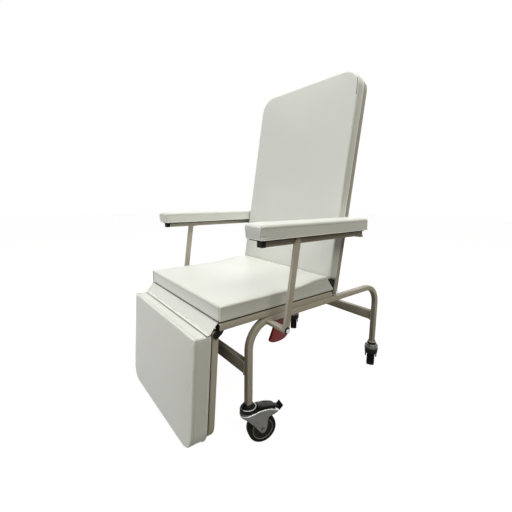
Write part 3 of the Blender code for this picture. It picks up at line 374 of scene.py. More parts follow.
# Black hub plastic with an olive tint: the tint is a painted reflection of a warm brown floor.
HUB_PLASTIC_PAINTED_REFLECTION = finish("hub_plastic_painted_reflection", (0.016, 0.015, 0.010), (0.026, 0.024, 0.014), (0.36, 0.50), 900, 0.05, dust=0.02,
                     shine=0.08)
RUBBER = finish("tyre_rubber", (0.008, 0.008, 0.007), (0.020, 0.019, 0.016), (0.62, 0.80), 420, 0.10, drift=22.0,
                dust=0.04, shine=0.06)
# A light grey for the wheels' ring and the rear heads' rim: a painted highlight on both.
RING_PAINTED_HIGHLIGHT = finish("ring_painted_highlight", (0.30, 0.30, 0.27), (0.22, 0.22, 0.20), (0.45, 0.55), 600, 0.05)
ZINC = finish("zinc_plate", (0.62, 0.62, 0.60), (0.50, 0.50, 0.48), (0.24, 0.40), 300, 0.04, metal=0.85, drift=26.0)
FORK_STEEL = finish("fork_steel", (0.17, 0.17, 0.16), (0.12, 0.12, 0.11), (0.30, 0.44), 300, 0.04, metal=0.6,
                    drift=26.0, dust=0.05, shine=0.3)
STEEL = finish("bright_steel", (0.66, 0.66, 0.65), (0.56, 0.56, 0.55), (0.18, 0.30), 500, 0.03, metal=1.0)
RED = finish("red_plastic", (0.30, 0.014, 0.007), (0.24, 0.012, 0.006), (0.32, 0.45), 900, 0.05, dust=0.05, shine=0.3)
# Near-black backing cloth on the boards, also painted shade in the gaps between the covers and the frame.
LINING_AND_SHADE = finish("dark_lining_painted_shade", (0.020, 0.018, 0.015), (0.014, 0.013, 0.011), (0.85, 0.75), 1500, 0.20, dust=0.0,
                shine=0.02)
SLOT_FINISH = {
    "vinyl": VINYL, "vinyl_strip": VINYL, "frame_paint": PAINT, "dark_paint": DARK_PAINT_AND_SHADE, "board": LINING_AND_SHADE,
    "black_plastic": PLASTIC, "tyre": RUBBER, "zinc": ZINC, "steel": STEEL, "red_plastic": RED,
}
node_slot = {row["node"]: row["material_slot"] for row in frame["record"]["subparts"]}
for node_name, obj in nodes.items():
    obj.data.materials.clear()
    obj.data.materials.append(SLOT_FINISH[node_slot[node_name]])
print(len(SLOT_FINISH), "finishes over", len(nodes), "parts")

# %% [markdown]
# A few tools turn lists of points into pieces. A path becomes a round cord, or a row of small beads by Geometry
# Nodes. The same row serves for stitches, gathers, welds and tacks, because each is one small form repeated along
# a line; only its size, its spacing and how much it varies are different.

# %% Tools for pieces
MERGE = 0.01 * MM


def mesh_object(name, mesh, material, smooth_angle=50.0):
    mesh.name = name
    mesh.materials.clear()
    mesh.materials.append(material)
    mesh.shade_smooth()
    mesh.set_sharp_from_angle(angle=math.radians(smooth_angle))
    return placed(name, mesh)


def settle(obj, body, slot, *stands_for):
    """Fix a finished piece to a moving body of the frame."""
    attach(obj, body)
    if stands_for:
        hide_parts(*stands_for)
    return obj


def plain_mesh(obj):
    """The object's mesh with its modifiers applied. The object itself is removed."""
    graph = bpy.context.evaluated_depsgraph_get()
    mesh = bpy.data.meshes.new_from_object(obj.evaluated_get(graph))
    bpy.data.objects.remove(obj, do_unlink=True)
    return mesh


def cord(points, radius, cyclic):
    """A round cord along a path."""
    curve = bpy.data.curves.new("cord", "CURVE")
    curve.dimensions = "3D"
    curve.bevel_depth = radius
    curve.bevel_resolution = 3
    curve.use_fill_caps = not cyclic
    spline = curve.splines.new("POLY")
    spline.points.add(len(points) - 1)
    for place, point in zip(spline.points, points):
        place.co = (*point, 1)
    spline.use_cyclic_u = cyclic
    return plain_mesh(placed("cord", curve))


def laid_cord(name, points, radius, cyclic, material, body, slot="vinyl"):
    """A cord as a piece of its own."""
    return settle(mesh_object(name, cord(points, radius, cyclic), material), body, slot)


def row_tree():
    """Geometry Nodes: small round beads along every line of a mesh."""
    tree = bpy.data.node_groups.new("row_of_beads", "GeometryNodeTree")
    for label, kind in (("Geometry", "NodeSocketGeometry"), ("Pitch", FLOAT), ("Size", VECTOR), ("Variation", FLOAT),
                        ("Seed", "NodeSocketInt"), ("Material", "NodeSocketMaterial")):
        tree.interface.new_socket(label, in_out="INPUT", socket_type=kind)
    tree.interface.new_socket("Geometry", in_out="OUTPUT", socket_type="NodeSocketGeometry")
    given = tree.nodes.new("NodeGroupInput").outputs
    line = wired(tree, "GeometryNodeMeshToCurve", {"Mesh": given["Geometry"]})
    spots = wired(tree, "GeometryNodeCurveToPoints", {"Curve": line.outputs["Curve"], "Length": given["Pitch"]},
                  mode="LENGTH").outputs
    bead = wired(tree, "GeometryNodeMeshUVSphere", {"Segments": 8, "Rings": 6, "Radius": 1.0})
    chance = wired(tree, "FunctionNodeRandomValue", {2: -1.0, 3: 1.0, "Seed": given["Seed"]}, data_type="FLOAT")
    swing = arithmetic(tree, "MULTIPLY", chance.outputs[1], given["Variation"])
    size = wired(tree, "ShaderNodeVectorMath", {0: given["Size"], "Scale": arithmetic(tree, "ADD", swing, 1.0)},
                 operation="SCALE")
    copies = wired(tree, "GeometryNodeInstanceOnPoints", {"Points": spots["Points"], "Instance": bead.outputs["Mesh"],
                                                          "Rotation": spots["Rotation"], "Scale": size.outputs[0]})
    real = wired(tree, "GeometryNodeRealizeInstances", {"Geometry": copies.outputs["Instances"]})
    dressed = wired(tree, "GeometryNodeSetMaterial", {"Geometry": real.outputs["Geometry"],
                                                      "Material": given["Material"]})
    wired(tree, "NodeGroupOutput", {"Geometry": dressed.outputs["Geometry"]})
    return tree


ROW = row_tree()
ROW_INPUT = {item.name: item.identifier for item in ROW.interface.items_tree if item.in_out == "INPUT"}


def row(name, paths, pitch, size, material, variation=0.0, seed=1):
    """Beads of a size (across, across, along), spaced along paths. Each path is (points, whether it closes)."""
    points = []
    edges = []
    for path, cyclic in paths:
        start = len(points)
        points += path
        edges += [(start + i, start + i + 1) for i in range(len(path) - 1)]
        if cyclic:
            edges.append((len(points) - 1, start))
    obj = placed(name, new_mesh(name, points, [], edges))
    modifier = obj.modifiers.new("row", "NODES")
    modifier.node_group = ROW
    for label, value in (("Pitch", pitch), ("Size", size), ("Variation", variation), ("Seed", seed),
                         ("Material", material)):
        modifier[ROW_INPUT[label]] = value
    return mesh_object(name, plain_mesh(obj), material)


def turned(profile, steps=48):
    """A profile of radius and height, open or closed on the axis, turned about Z."""
    points = []
    faces = []
    count = len(profile)
    for step in range(steps):
        angle = 2 * math.pi * step / steps
        points += [(radius * math.cos(angle), radius * math.sin(angle), level) for radius, level in profile]
        for i in range(count):
            here = step * count + i
            after = step * count + (i + 1) % count
            turn_by = ((step + 1) % steps - step) * count
            faces.append((here, here + turn_by, after + turn_by, after))
    return cleaned(new_mesh("turned", points, faces))


def cleaned(mesh):
    """The mesh without doubled points, its faces turned outward."""
    bm = bmesh.new()
    bm.from_mesh(mesh)
    bmesh.ops.remove_doubles(bm, verts=bm.verts, dist=MERGE)
    bmesh.ops.dissolve_degenerate(bm, edges=bm.edges, dist=MERGE)
    bmesh.ops.recalc_face_normals(bm, faces=bm.faces)
    if bm.calc_volume(signed=True) < 0:
        bmesh.ops.reverse_faces(bm, faces=bm.faces)
    bm.to_mesh(mesh)
    bm.free()
    return mesh


def thickened(points, faces, thickness):
    """A sheet given as points and faces, made a closed solid of even thickness."""
    obj = placed("sheet", new_mesh("sheet", points, faces))
    wall = obj.modifiers.new("wall", "SOLIDIFY")
    wall.thickness = thickness
    wall.offset = 0.0
    return cleaned(plain_mesh(obj))


def joined(name, meshes, material):
    """Several closed solids as one piece."""
    bm = bmesh.new()
    for mesh in meshes:
        bm.from_mesh(mesh)
    mesh = bpy.data.meshes.new(name)
    bm.to_mesh(mesh)
    bm.free()
    return mesh_object(name, mesh, material)


def softened(node, width, segments=2, sharp=30.0):
    """A copy of a CAD part with its sharp edges rounded, as real edges are."""
    bm = bmesh.new()
    bm.from_mesh(nodes[node].data)
    bmesh.ops.remove_doubles(bm, verts=bm.verts, dist=MERGE)
    bmesh.ops.dissolve_limit(bm, angle_limit=math.radians(1.0), verts=bm.verts, edges=bm.edges)
    limit = math.radians(sharp)
    edges = [edge for edge in bm.edges if len(edge.link_faces) == 2 and edge.calc_face_angle() > limit]
    bmesh.ops.bevel(bm, geom=edges, offset=width, segments=segments, profile=0.5, affect="EDGES",
                    clamp_overlap=True)
    mesh = bpy.data.meshes.new(node)
    bm.to_mesh(mesh)
    bm.free()
    obj = mesh_object(node + "_finished", mesh, SLOT_FINISH[node_slot[node]], smooth_angle=60.0)
    return settle(obj, nodes[node]["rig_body"], node_slot[node], node)

# %% [markdown]
# The frame's tubes come from a mill with rounded corners, and its plates are deburred. A small rounding on each
# edge gives the thin highlights that make painted steel look real. The parts keep their exact places.

# %% Frame with softened edges
TUBES = ["base_side_left", "base_side_right", "front_cross_bar", "rear_cross_bar", "seat_frame", "leg_top_tube",
         "back_lower_tube"]
for side in ("left", "right"):
    TUBES += [f"back_side_tube_{side}", f"leg_side_tube_{side}", f"arm_rail_{side}"]
DEBURR = 0.6 * MM
for node in TUBES:
    softened(node, DEBURR)
for side in ("left", "right"):
    softened(f"front_post_{side}", 1.2 * MM, 3)
    softened(f"arm_stub_{side}", 1.0 * MM, 3)
    softened(f"post_bolt_{side}", 0.7 * MM)
    softened(f"back_hinge_bolt_{side}", 0.7 * MM)
    softened(f"back_hinge_bracket_{side}", DEBURR)
softened("release_lever", 2.6 * MM, 4)
softened("spring_bracket", DEBURR)
softened("leg_push_rod", DEBURR)
print("softened", len(TUBES) + 13, "metal and plastic parts")

# %% [markdown]
# A cushion cover is sewn from a top panel and a band that runs round it. The mesh is laid out the same way: an
# even grid on the panel, close rings where it turns over the edge, and the band below.

# %% Grids for the covers


def graded(half, step, rings):
    """Places from -half to half: rings close to both ends, even steps between them."""
    inner = half - rings[-1]
    count = max(2, round(2 * inner / step))
    even = [-inner + 2 * inner * i / count for i in range(count + 1)]
    low = [-half + ring for ring in rings[:-1]]
    return low + even + [-place for place in reversed(low)]


def grid_box(xs, ys, zs):
    """Points and outward quads of a box's surface, with a line at each given place."""
    last = (len(xs) - 1, len(ys) - 1, len(zs) - 1)
    index = {}
    points = []
    faces = []

    def corner(i, j, k):
        if (i, j, k) not in index:
            index[i, j, k] = len(points)
            points.append((xs[i], ys[j], zs[k]))
        return index[i, j, k]

    def quad(*corners):
        faces.append(tuple(corner(*c) for c in corners))

    for i in range(last[0]):
        for j in range(last[1]):
            quad((i, j, last[2]), (i + 1, j, last[2]), (i + 1, j + 1, last[2]), (i, j + 1, last[2]))
            quad((i, j, 0), (i, j + 1, 0), (i + 1, j + 1, 0), (i + 1, j, 0))
        for k in range(last[2]):
            quad((i, 0, k), (i + 1, 0, k), (i + 1, 0, k + 1), (i, 0, k + 1))
            quad((i, last[1], k), (i, last[1], k + 1), (i + 1, last[1], k + 1), (i + 1, last[1], k))
    for j in range(last[1]):
        for k in range(last[2]):
            quad((0, j, k), (0, j, k + 1), (0, j + 1, k + 1), (0, j + 1, k))
            quad((last[0], j, k), (last[0], j + 1, k), (last[0], j + 1, k + 1), (last[0], j, k + 1))
    return points, faces


# %% [markdown]
# Each cover is then given its form. The edge is rounded as foam rounds it, the band is drawn in a little between its
# two edges, and a seam is pressed in below the edge. The seat's rear end slopes and rises towards the backrest, and
# the armrests are tucked under at the front. One class holds the form, so that cords and stitches can follow it too.

# %% Form of a cover
RINGS = [r * MM for r in (0, 0.9, 1.9, 3.0, 4.3, 6.0, 8.0, 10.5, 14.0)]
BAND_RINGS = [r * MM for r in (0, 0.9, 1.9, 3.0, 4.3, 6.0, 7.5, 9.0, 11.0)]
RISE_FROM = 0.56
RISE_TO = 0.93
TUCK_REACH = 20 * MM
GATHER_PITCH = 7 * MM
SEAM_DROP = 2.0 * MM
SEAM_DEPTH = 0.7 * MM
SEAM_WIDTH = 1.3 * MM
BULGE_REACH = 8 * MM
UNEVEN = 0.5 * MM


class Cover:
    """One padded piece in its own axes: X across, Y along, Z out from its flat back."""

    def __init__(self, size, crown, corners, rounding, place, step=9 * MM, slant=0.0, rise=0.0, tuck=0.0,
                 draw=1.5 * MM, roll=0.0):
        self.width, self.length, self.thickness = size
        self.crown = crown
        self.corners = corners
        self.rounding = rounding
        self.place = place
        self.step = step
        self.slant = slant
        self.rise = rise
        self.tuck = tuck
        self.draw = draw
        self.roll = roll
        self.creases = []
        self.gathers = []

    def edge(self, x, y):
        """Depth inside the outline, and the way out."""
        radius = self.corners[0] if y < 0 else self.corners[1]
        over_x = abs(x) - (self.width / 2 - radius)
        over_y = abs(y) - (self.length / 2 - radius)
        if over_x > 0 and over_y > 0:
            reach = math.hypot(over_x, over_y)
            way = Vector((math.copysign(over_x, x), math.copysign(over_y, y))) / reach
            return radius - reach, way
        if over_x > over_y:
            return radius - over_x, Vector((math.copysign(1, x), 0))
        return radius - over_y, Vector((0, math.copysign(1, y)))

    def in_plan(self, x, y):
        """Bring a rectangle's corner into the round one."""
        radius = self.corners[0] if y < 0 else self.corners[1]
        core = (self.width / 2 - radius, self.length / 2 - radius)
        over = Vector((max(abs(x) - core[0], 0), max(abs(y) - core[1], 0)))
        if over.x and over.y:
            over *= max(over.x, over.y) / over.length
            x = math.copysign(core[0] + over.x, x)
            y = math.copysign(core[1] + over.y, y)
        return x, y

    def seam_level(self):
        return self.thickness - self.rounding - SEAM_DROP

    def leaned(self, x, y, z):
        """Slope the rear end and lift its upper edge, and tuck the lower front edge under."""
        along = max(y / self.length + 0.5, 0)
        level = z / self.thickness
        y -= self.slant * level * along ** 3
        y += self.tuck * max(1 - level, 0) ** 1.5 * math.exp(-along * self.length / TUCK_REACH)
        z += self.rise * level * eased((along - RISE_FROM) / (RISE_TO - RISE_FROM))
        return Vector((x, y, z))

    def formed(self, point):
        """Where a point of the plain box lies on the sewn cover."""
        x, y = self.in_plan(point[0], point[1])
        z = point[2]
        depth, way = self.edge(x, y)
        upper = z > self.thickness / 2
        radius = self.rounding + self.roll * abs(way.y) if upper else self.rounding * 0.5
        under = self.thickness - z if upper else z
        inward = 0.0
        if depth < radius and under < radius:
            side = radius - depth
            rise = radius - under
            share = radius / math.hypot(side, rise)
            inward = radius - side * share - depth
            level = radius - rise * share
            z = self.thickness - level if upper else level
        near = math.exp(-max(depth, 0) / BULGE_REACH)
        bulge = math.sin(math.pi * min(max(z / self.thickness, 0), 1)) * near
        inward += self.draw * bulge
        inward += SEAM_DEPTH * math.exp(-((z - self.seam_level()) / SEAM_WIDTH) ** 2) * (depth < 2 * MM)
        inward -= UNEVEN * noise.noise(Vector((x * 26, y * 26, z * 9))) * bulge
        return self.leaned(x - way.x * inward, y - way.y * inward, z)

    def creased(self, point):
        """Depth of the creases at a point of the cover's face."""
        depth = 0.0
        for x, y, heading, length, width, amount in self.creases:
            gap = Vector((point.x - x, point.y - y))
            along = gap.x * math.cos(heading) + gap.y * math.sin(heading)
            across = gap.y * math.cos(heading) - gap.x * math.sin(heading)
            depth += amount * math.exp(-(along / length) ** 2 - (across / width) ** 2)
        return depth

    def gathered(self, point):
        """Depth of the small folds beside the upright seams at the corners."""
        depth = 0.0
        for x, y, reach, amount in self.gathers:
            gap = math.hypot(point.x - x, point.y - y)
            if gap < 3 * reach:
                wave = math.sin(2 * math.pi * point.z / GATHER_PITCH + 4 * noise.noise(point * 70))
                depth += amount * (0.5 + 0.5 * wave) * math.exp(-(gap / reach) ** 2)
        return depth

    def detailed(self, point):
        """A point of the inflated cover, with its creases and gathers."""
        x, y, z = point
        if z > self.thickness * 0.6:
            z -= self.creased(point)
        fold = self.gathered(point)
        if fold:
            way = self.edge(x, y)[1]
            x -= way.x * fold
            y -= way.y * fold
        return Vector((x, y, z))

    def rim(self, inset, level, step=8 * MM):
        """Points round the outline at an inset, at a level."""
        half_x = self.width / 2 - inset
        half_y = self.length / 2 - inset
        points = []
        foot = max(self.corners[0] - inset, 0.5 * MM)
        head = max(self.corners[1] - inset, 0.5 * MM)
        for sign_x, sign_y, start, radius in ((1, -1, -90, foot), (1, 1, 0, head), (-1, 1, 90, head),
                                              (-1, -1, 180, foot)):
            centre = Vector((sign_x * (half_x - radius), sign_y * (half_y - radius)))
            for i in range(9):
                angle = math.radians(start + 90 * i / 8)
                points.append(centre + radius * Vector((math.cos(angle), math.sin(angle))))
        path = []
        for here, after in zip(points, points[1:] + points[:1]):
            count = max(1, round((after - here).length / step))
            path += [here.lerp(after, i / count) for i in range(count)]
        return [self.place @ self.leaned(point.x, point.y, level) for point in path]

    def over(self, stops, step=2.5 * MM):
        """A path on the cover between points of the plain box."""
        path = []
        for here, after in zip(stops, stops[1:]):
            here, after = Vector(here), Vector(after)
            count = max(2, round((after - here).length / step))
            path += [here.lerp(after, i / count) for i in range(count)]
        path.append(Vector(stops[-1]))
        return [self.place @ self.formed(point) for point in path]


# %% [markdown]
# There are four kinds of cover. The seat and the armrests lie flat. The backrest and the leg rest lean, so theirs are
# stood up against their boards. The right armrest's cover is a mirror image of the left one's.

# %% The covers and their places


def on_panel(axis, lean, board_front, foot, length):
    """Stand a cover up against its board on a leaning panel."""
    tilt = Matrix.Translation(axis) @ Matrix.Rotation(-lean, 4, "X")
    return tilt @ Matrix.Translation((0, board_front, foot + length / 2)) @ Matrix.Rotation(math.pi / 2, 4, "X")


PANEL_CUSHION = -18.6 * MM
SEAT_SIZE = (0.500, 0.484, 0.045)
BACK_SIZE = (0.513, 0.738, 0.037)
LEG_SIZE = (0.481, 0.329, 0.050)
back_rise = SEAT_LOW.z + SEAT_SIZE[2] + 1 * MM - BACK_PIVOT.z
back_foot = (back_rise + (PANEL_CUSHION - BACK_SIZE[2]) * math.sin(BACK_LEAN)) / math.cos(BACK_LEAN)
leg_foot = 2.5 * MM - LEG_SIZE[1]
seat = Cover(SEAT_SIZE, 6 * MM, (6 * MM, 9 * MM), 7 * MM,
             Matrix.Translation((0, SEAT_FRONT + SEAT_SIZE[1] / 2, SEAT_LOW.z)), slant=47 * MM, rise=13 * MM)
back = Cover(BACK_SIZE, 6 * MM, (12 * MM, 65 * MM), 9 * MM,
             on_panel(BACK_PIVOT, BACK_LEAN, PANEL_CUSHION, back_foot, BACK_SIZE[1]), step=11 * MM)
leg = Cover(LEG_SIZE, 6 * MM, (52 * MM, 10 * MM), 7 * MM,
            on_panel(LEG_PIVOT, LEG_LEAN, PANEL_CUSHION, leg_foot, LEG_SIZE[1]))
PAD_LOW, PAD_HIGH = corners_of("arm_pad_left")
PAD_SIZE = (PAD_HIGH.x - PAD_LOW.x, PAD_HIGH.y - PAD_LOW.y, 0.041)
pad = Cover(PAD_SIZE, 3 * MM, (9 * MM, 10 * MM), 9 * MM,
            Matrix.Translation(((PAD_LOW.x + PAD_HIGH.x) / 2, (PAD_LOW.y + PAD_HIGH.y) / 2, PAD_LOW.z)), step=7 * MM,
            tuck=3 * MM, draw=0.6 * MM, roll=6 * MM)
print("covers", [cover.rounding for cover in (seat, back, leg, pad)])

# %% [markdown]
# The sewn covers are then inflated by a cloth simulation. The edge and the band are held, as the seam and the
# foam hold them, and a light pressure lifts the panel until it is tight. A little spare cloth lets it settle in
# soft, uneven waves.

# %% Inflate the covers
SIM_FRAMES = 20
FREE_FROM = 8 * MM
CLOTH = {"quality": 6, "mass": 0.25, "tension_stiffness": 18, "compression_stiffness": 14, "shear_stiffness": 8,
         "bending_stiffness": 0.8, "use_pressure": True, "uniform_pressure_force": 4.0, "vertex_group_mass": "held"}


def is_free(cover, point):
    """Whether a point of the plain box lies on the panel that may swell."""
    depth = cover.edge(*cover.in_plan(point[0], point[1]))[0]
    return point[2] > cover.thickness - 0.1 * MM and depth > FREE_FROM


def swell(obj, free, slack):
    """Inflate the face of a cover by cloth simulation, and return how far each point moved."""
    rest = [vert.co.copy() for vert in obj.data.vertices]
    held = obj.vertex_groups.new(name="held")
    for number, loose in enumerate(free):
        held.add([number], 0.0 if loose else 1.0, "REPLACE")
    cloth = obj.modifiers.new("cloth", "CLOTH")
    for label, value in CLOTH.items():
        setattr(cloth.settings, label, value)
    cloth.settings.shrink_min = -slack
    cloth.settings.effector_weights.gravity = 0.0
    cloth.collision_settings.use_collision = False
    cloth.point_cache.frame_start = 1
    cloth.point_cache.frame_end = SIM_FRAMES
    for number in range(1, SIM_FRAMES + 1):
        scene.frame_set(number)
    graph = bpy.context.evaluated_depsgraph_get()
    settled = [vert.co.copy() for vert in obj.evaluated_get(graph).data.vertices]
    obj.modifiers.remove(cloth)
    obj.vertex_groups.remove(held)
    scene.frame_set(1)
    return [after - before for before, after in zip(rest, settled)]


def upholster(name, cover, slack=0.004):
    """Sew, inflate and place one cover, as a mesh in the chair's frame."""
    xs = graded(cover.width / 2, cover.step, RINGS)
    ys = graded(cover.length / 2, cover.step, RINGS)
    half = cover.thickness / 2
    zs = [half + z for z in graded(half, 6 * MM, BAND_RINGS)]
    points, faces = grid_box(xs, ys, zs)
    mesh = new_mesh(name, [cover.formed(point) for point in points], faces)
    obj = placed(name, mesh)
    free = [is_free(cover, point) for point in points]
    moves = swell(obj, free, slack)
    highest = max(move.z for move in moves)
    share = cover.crown / highest if highest > 0 else 0.0
    for vert, move in zip(mesh.vertices, moves):
        vert.co += move * share
    finer = obj.modifiers.new("finer", "SUBSURF")
    finer.levels = 1
    finer.render_levels = 1
    fine = plain_mesh(obj)
    for vert in fine.vertices:
        vert.co = cover.detailed(vert.co)
    fine.transform(cover.place)
    print(name, len(fine.polygons), "quads, raised", round(highest * share / MM, 1), "mm")
    return mesh_object(name, fine, VINYL, smooth_angle=80.0)


# %% [markdown]
# Small creases that the picture shows near corners, and the folds beside gathered seams, are pressed in after the
# inflation, on the finer mesh. Each crease is a place, a heading, a length, a width and a depth.

# %% Creases, gathers and finished covers
MIRROR = Matrix.Diagonal((-1, 1, 1, 1))


def both_sides(marks):
    """Marks on the right half of a face, repeated on the left half."""
    return marks + [(-x, y, math.pi - heading, *rest) for x, y, heading, *rest in marks]


leg.creases = [(0.226, 0.028, 1.1, 12 * MM, 2.2 * MM, 1.5 * MM), (0.221, 0.014, 1.3, 10 * MM, 2.0 * MM, 1.2 * MM),
               (0.228, -0.002, 1.0, 9 * MM, 2.0 * MM, 0.9 * MM)]
leg.creases += both_sides([(0.234, 0.158, 0.8, 9 * MM, 3 * MM, 1.6 * MM)])
seat.creases = both_sides([(0.244, -0.235, -0.8, 7 * MM, 3 * MM, 2.0 * MM)])
seat.creases.append((0.225, -0.206, -0.8, 22 * MM, 6 * MM, 0.5 * MM))
back.creases = both_sides([(0.20, -0.345, 0.5, 25 * MM, 7 * MM, 0.8 * MM)])
back.creases += [(0.2485, 0.305, 1.57, 26 * MM, 1.8 * MM, 1.6 * MM), (0.244, 0.276, 0.3, 8 * MM, 2.2 * MM, 1.1 * MM),
                 (0.243, 0.268, 0.1, 7 * MM, 1.8 * MM, 0.8 * MM)]
pad_corner = (PAD_SIZE[0] / 2 - 6 * MM, -PAD_SIZE[1] / 2 + 6 * MM)
pad.creases = both_sides([(pad_corner[0] - 4 * MM, pad_corner[1] + 3 * MM, -0.9, 9 * MM, 2.2 * MM, 1.3 * MM),
                          (pad_corner[0] - 11 * MM, pad_corner[1] + 1 * MM, -1.3, 8 * MM, 2.0 * MM, 1.0 * MM),
                          (pad_corner[0] - 1 * MM, pad_corner[1] + 10 * MM, -0.4, 8 * MM, 2.0 * MM, 1.0 * MM)])
pad.gathers = [(sign * pad_corner[0], pad_corner[1], 13 * MM, 1.6 * MM) for sign in (1, -1)]
leg.gathers = [(sign * LEG_SIZE[0] / 2, LEG_SIZE[1] / 2, 9 * MM, 0.7 * MM) for sign in (1, -1)]
seat.gathers = [(sign * SEAT_SIZE[0] / 2, -SEAT_SIZE[1] / 2, 9 * MM, 0.6 * MM) for sign in (1, -1)]
seat_cover = upholster("seat_cover", seat)
back_cover = upholster("back_cover", back)
leg_cover = upholster("leg_cover", leg)
pad_cover = upholster("arm_pad_cover_left", pad, slack=0.008)
settle(seat_cover, "base", "vinyl", "seat_cushion")
settle(back_cover, "backrest", "vinyl", "back_cushion")
settle(leg_cover, "leg_rest", "vinyl", "leg_cushion")
settle(pad_cover, "armrest_left", "vinyl", "arm_pad_left")


def mirrored(name, obj):
    """The same piece for the chair's right side."""
    mesh = obj.data.copy()
    mesh.transform(MIRROR)
    mesh.flip_normals()
    return mesh_object(name, mesh, obj.data.materials[0], smooth_angle=80.0)


pad_right = mirrored("arm_pad_cover_right", pad_cover)
settle(pad_right, "armrest_right", "vinyl", "arm_pad_right")

# %% [markdown]
# The covers' seams show as fine lines. A thin cord of vinyl is rolled into the rear seams of the backrest and the
# leg rest, round the foot of the armrests and over the seat's slanted rear edge. These cords, the corner welts and
# the gathers get a lighter copy of the vinyl, a painted highlight. The seat's own foot gets a near-black cord, a
# painted shadow line where the seat meets the flap; near-black cords beside the corner welts and up the backrest's
# side are painted shade in the seams. Stitches follow the front seams, and the armrests' front corners are gathered
# with a heavier seam, which shows as a light, slightly toothed line.

# %% Piping, seams and gathers
STITCH_PITCH = 5.0 * MM
PIPING_PROUD = 0.8 * MM
STITCH = (0.45 * MM, 0.45 * MM, 1.7 * MM)
STITCH_INSET = 0.9 * MM
GATHER_STEP = 3.2 * MM
GATHER_BEAD = (2.0 * MM, 2.0 * MM, 1.5 * MM)
GAP_SHADE_INSET = 2.4 * MM
GAP_SHADE_LEVEL = -1.6 * MM
GAP_SHADE_RADIUS = 1.7 * MM
bodies_of = {"seat": ("base", seat), "back": ("backrest", back), "leg": ("leg_rest", leg),
             "arm_left": ("armrest_left", pad)}
# The seat's foot line is a near-black cord: a painted shadow line where the seat meets the flap.
FOOT_LINE = {"seat": (0.7 * MM, DARK_THREAD_AND_SHADE, 0.3 * MM, 0.0), "back": (1.9 * MM, VINYL_PAINTED_HIGHLIGHT, 0.9 * MM, 2.2 * MM),
             "leg": (2.2 * MM, VINYL_PAINTED_HIGHLIGHT, 0.3 * MM, 2.0 * MM), "arm_left": (1.2 * MM, VINYL_PAINTED_HIGHLIGHT, 0.9 * MM, 1.6 * MM)}
for name, (body, cover) in bodies_of.items():
    seam = cover.rim(STITCH_INSET, cover.seam_level())
    stitches = row(f"{name}_stitches", [(seam, True)], STITCH_PITCH, STITCH, THREAD)
    settle(stitches, body, "vinyl")
    radius, material, inset, level = FOOT_LINE[name]
    pipe = laid_cord(f"{name}_piping", cover.rim(inset, level), radius, True, material, body)
    if name == "arm_left":
        settle(mirrored("arm_right_stitches", stitches), "armrest_right", "vinyl")
        settle(mirrored("arm_right_piping", pipe), "armrest_right", "vinyl")


def upright_seams(cover, end, lean=0.0, inset=0.0):
    """Paths up both corners of one end of a cover. Lean moves their feet towards the middle."""
    paths = []
    y = end * cover.length / 2
    for sign in (1, -1):
        x = sign * (cover.width / 2 - inset)
        paths.append((cover.over([(x - sign * lean, y, 3 * MM), (x, y, cover.thickness)]), False))
    return paths


gather = row("arm_left_gathers", upright_seams(pad, -1, 8 * MM, 3 * MM), GATHER_STEP, GATHER_BEAD, VINYL_PAINTED_HIGHLIGHT,
             0.25, 3)
settle(gather, "armrest_left", "vinyl")
settle(mirrored("arm_right_gathers", gather), "armrest_right", "vinyl")
# Each front corner gets a welt of the lighter vinyl, a painted highlight, with a near-black cord beside it, painted
# shade in the seam.
for name, cover, body, end in (("seat", seat, "base", -1), ("leg", leg, "leg_rest", 1)):
    for part, inset, radius, material in (("welt", 0.0, 2.4 * MM, VINYL_PAINTED_HIGHLIGHT), ("seam", 4.6 * MM, 0.8 * MM, DARK_THREAD_AND_SHADE)):
        seams = [cord(path, radius, False) for path, closed in upright_seams(cover, end, 0.0, inset)]
        settle(joined(f"{name}_corner_{part}", seams, material), body, "vinyl")
# A near-black cord round the backrest's and leg rest's covers: painted shade in the gap between each cover and its
# frame tube.
for name in ("back", "leg"):
    body, cover = bodies_of[name]
    laid_cord(f"{name}_gap_shade_cord", cover.rim(GAP_SHADE_INSET, GAP_SHADE_LEVEL), GAP_SHADE_RADIUS, True, DARK_THREAD_AND_SHADE, body, "board")
# A near-black cord up the backrest's side seam: painted shade in the seam.
side_seam = BACK_SIZE[0] / 2 - 3 * MM
pucker = back.over([(side_seam, 0.272, BACK_SIZE[2]), (side_seam, 0.335, BACK_SIZE[2])])
laid_cord("back_side_seam", pucker, 0.7 * MM, False, DARK_THREAD_AND_SHADE, "backrest")
rear_x = SEAT_SIZE[0] / 2 + PIPING_PROUD
rear_y = SEAT_SIZE[1] / 2 + PIPING_PROUD
rear_edge = seat.over([(-rear_x, rear_y, 3 * MM), (-rear_x, rear_y, SEAT_SIZE[2]), (rear_x, rear_y, SEAT_SIZE[2]),
                       (rear_x, rear_y, 3 * MM)])
laid_cord("seat_rear_piping", rear_edge, 1.9 * MM, False, VINYL_PAINTED_HIGHLIGHT, "base")
print("seams on", len(bodies_of), "covers")

# %% [markdown]
# A strip of the same vinyl closes the gap between seat and leg rest. It is sewn under the seat's front edge and on
# top of the leg rest, and it wrinkles because it must be longer than the gap when the leg rest hangs down. It is
# one sheet. Its two seams are sewn with dark thread.

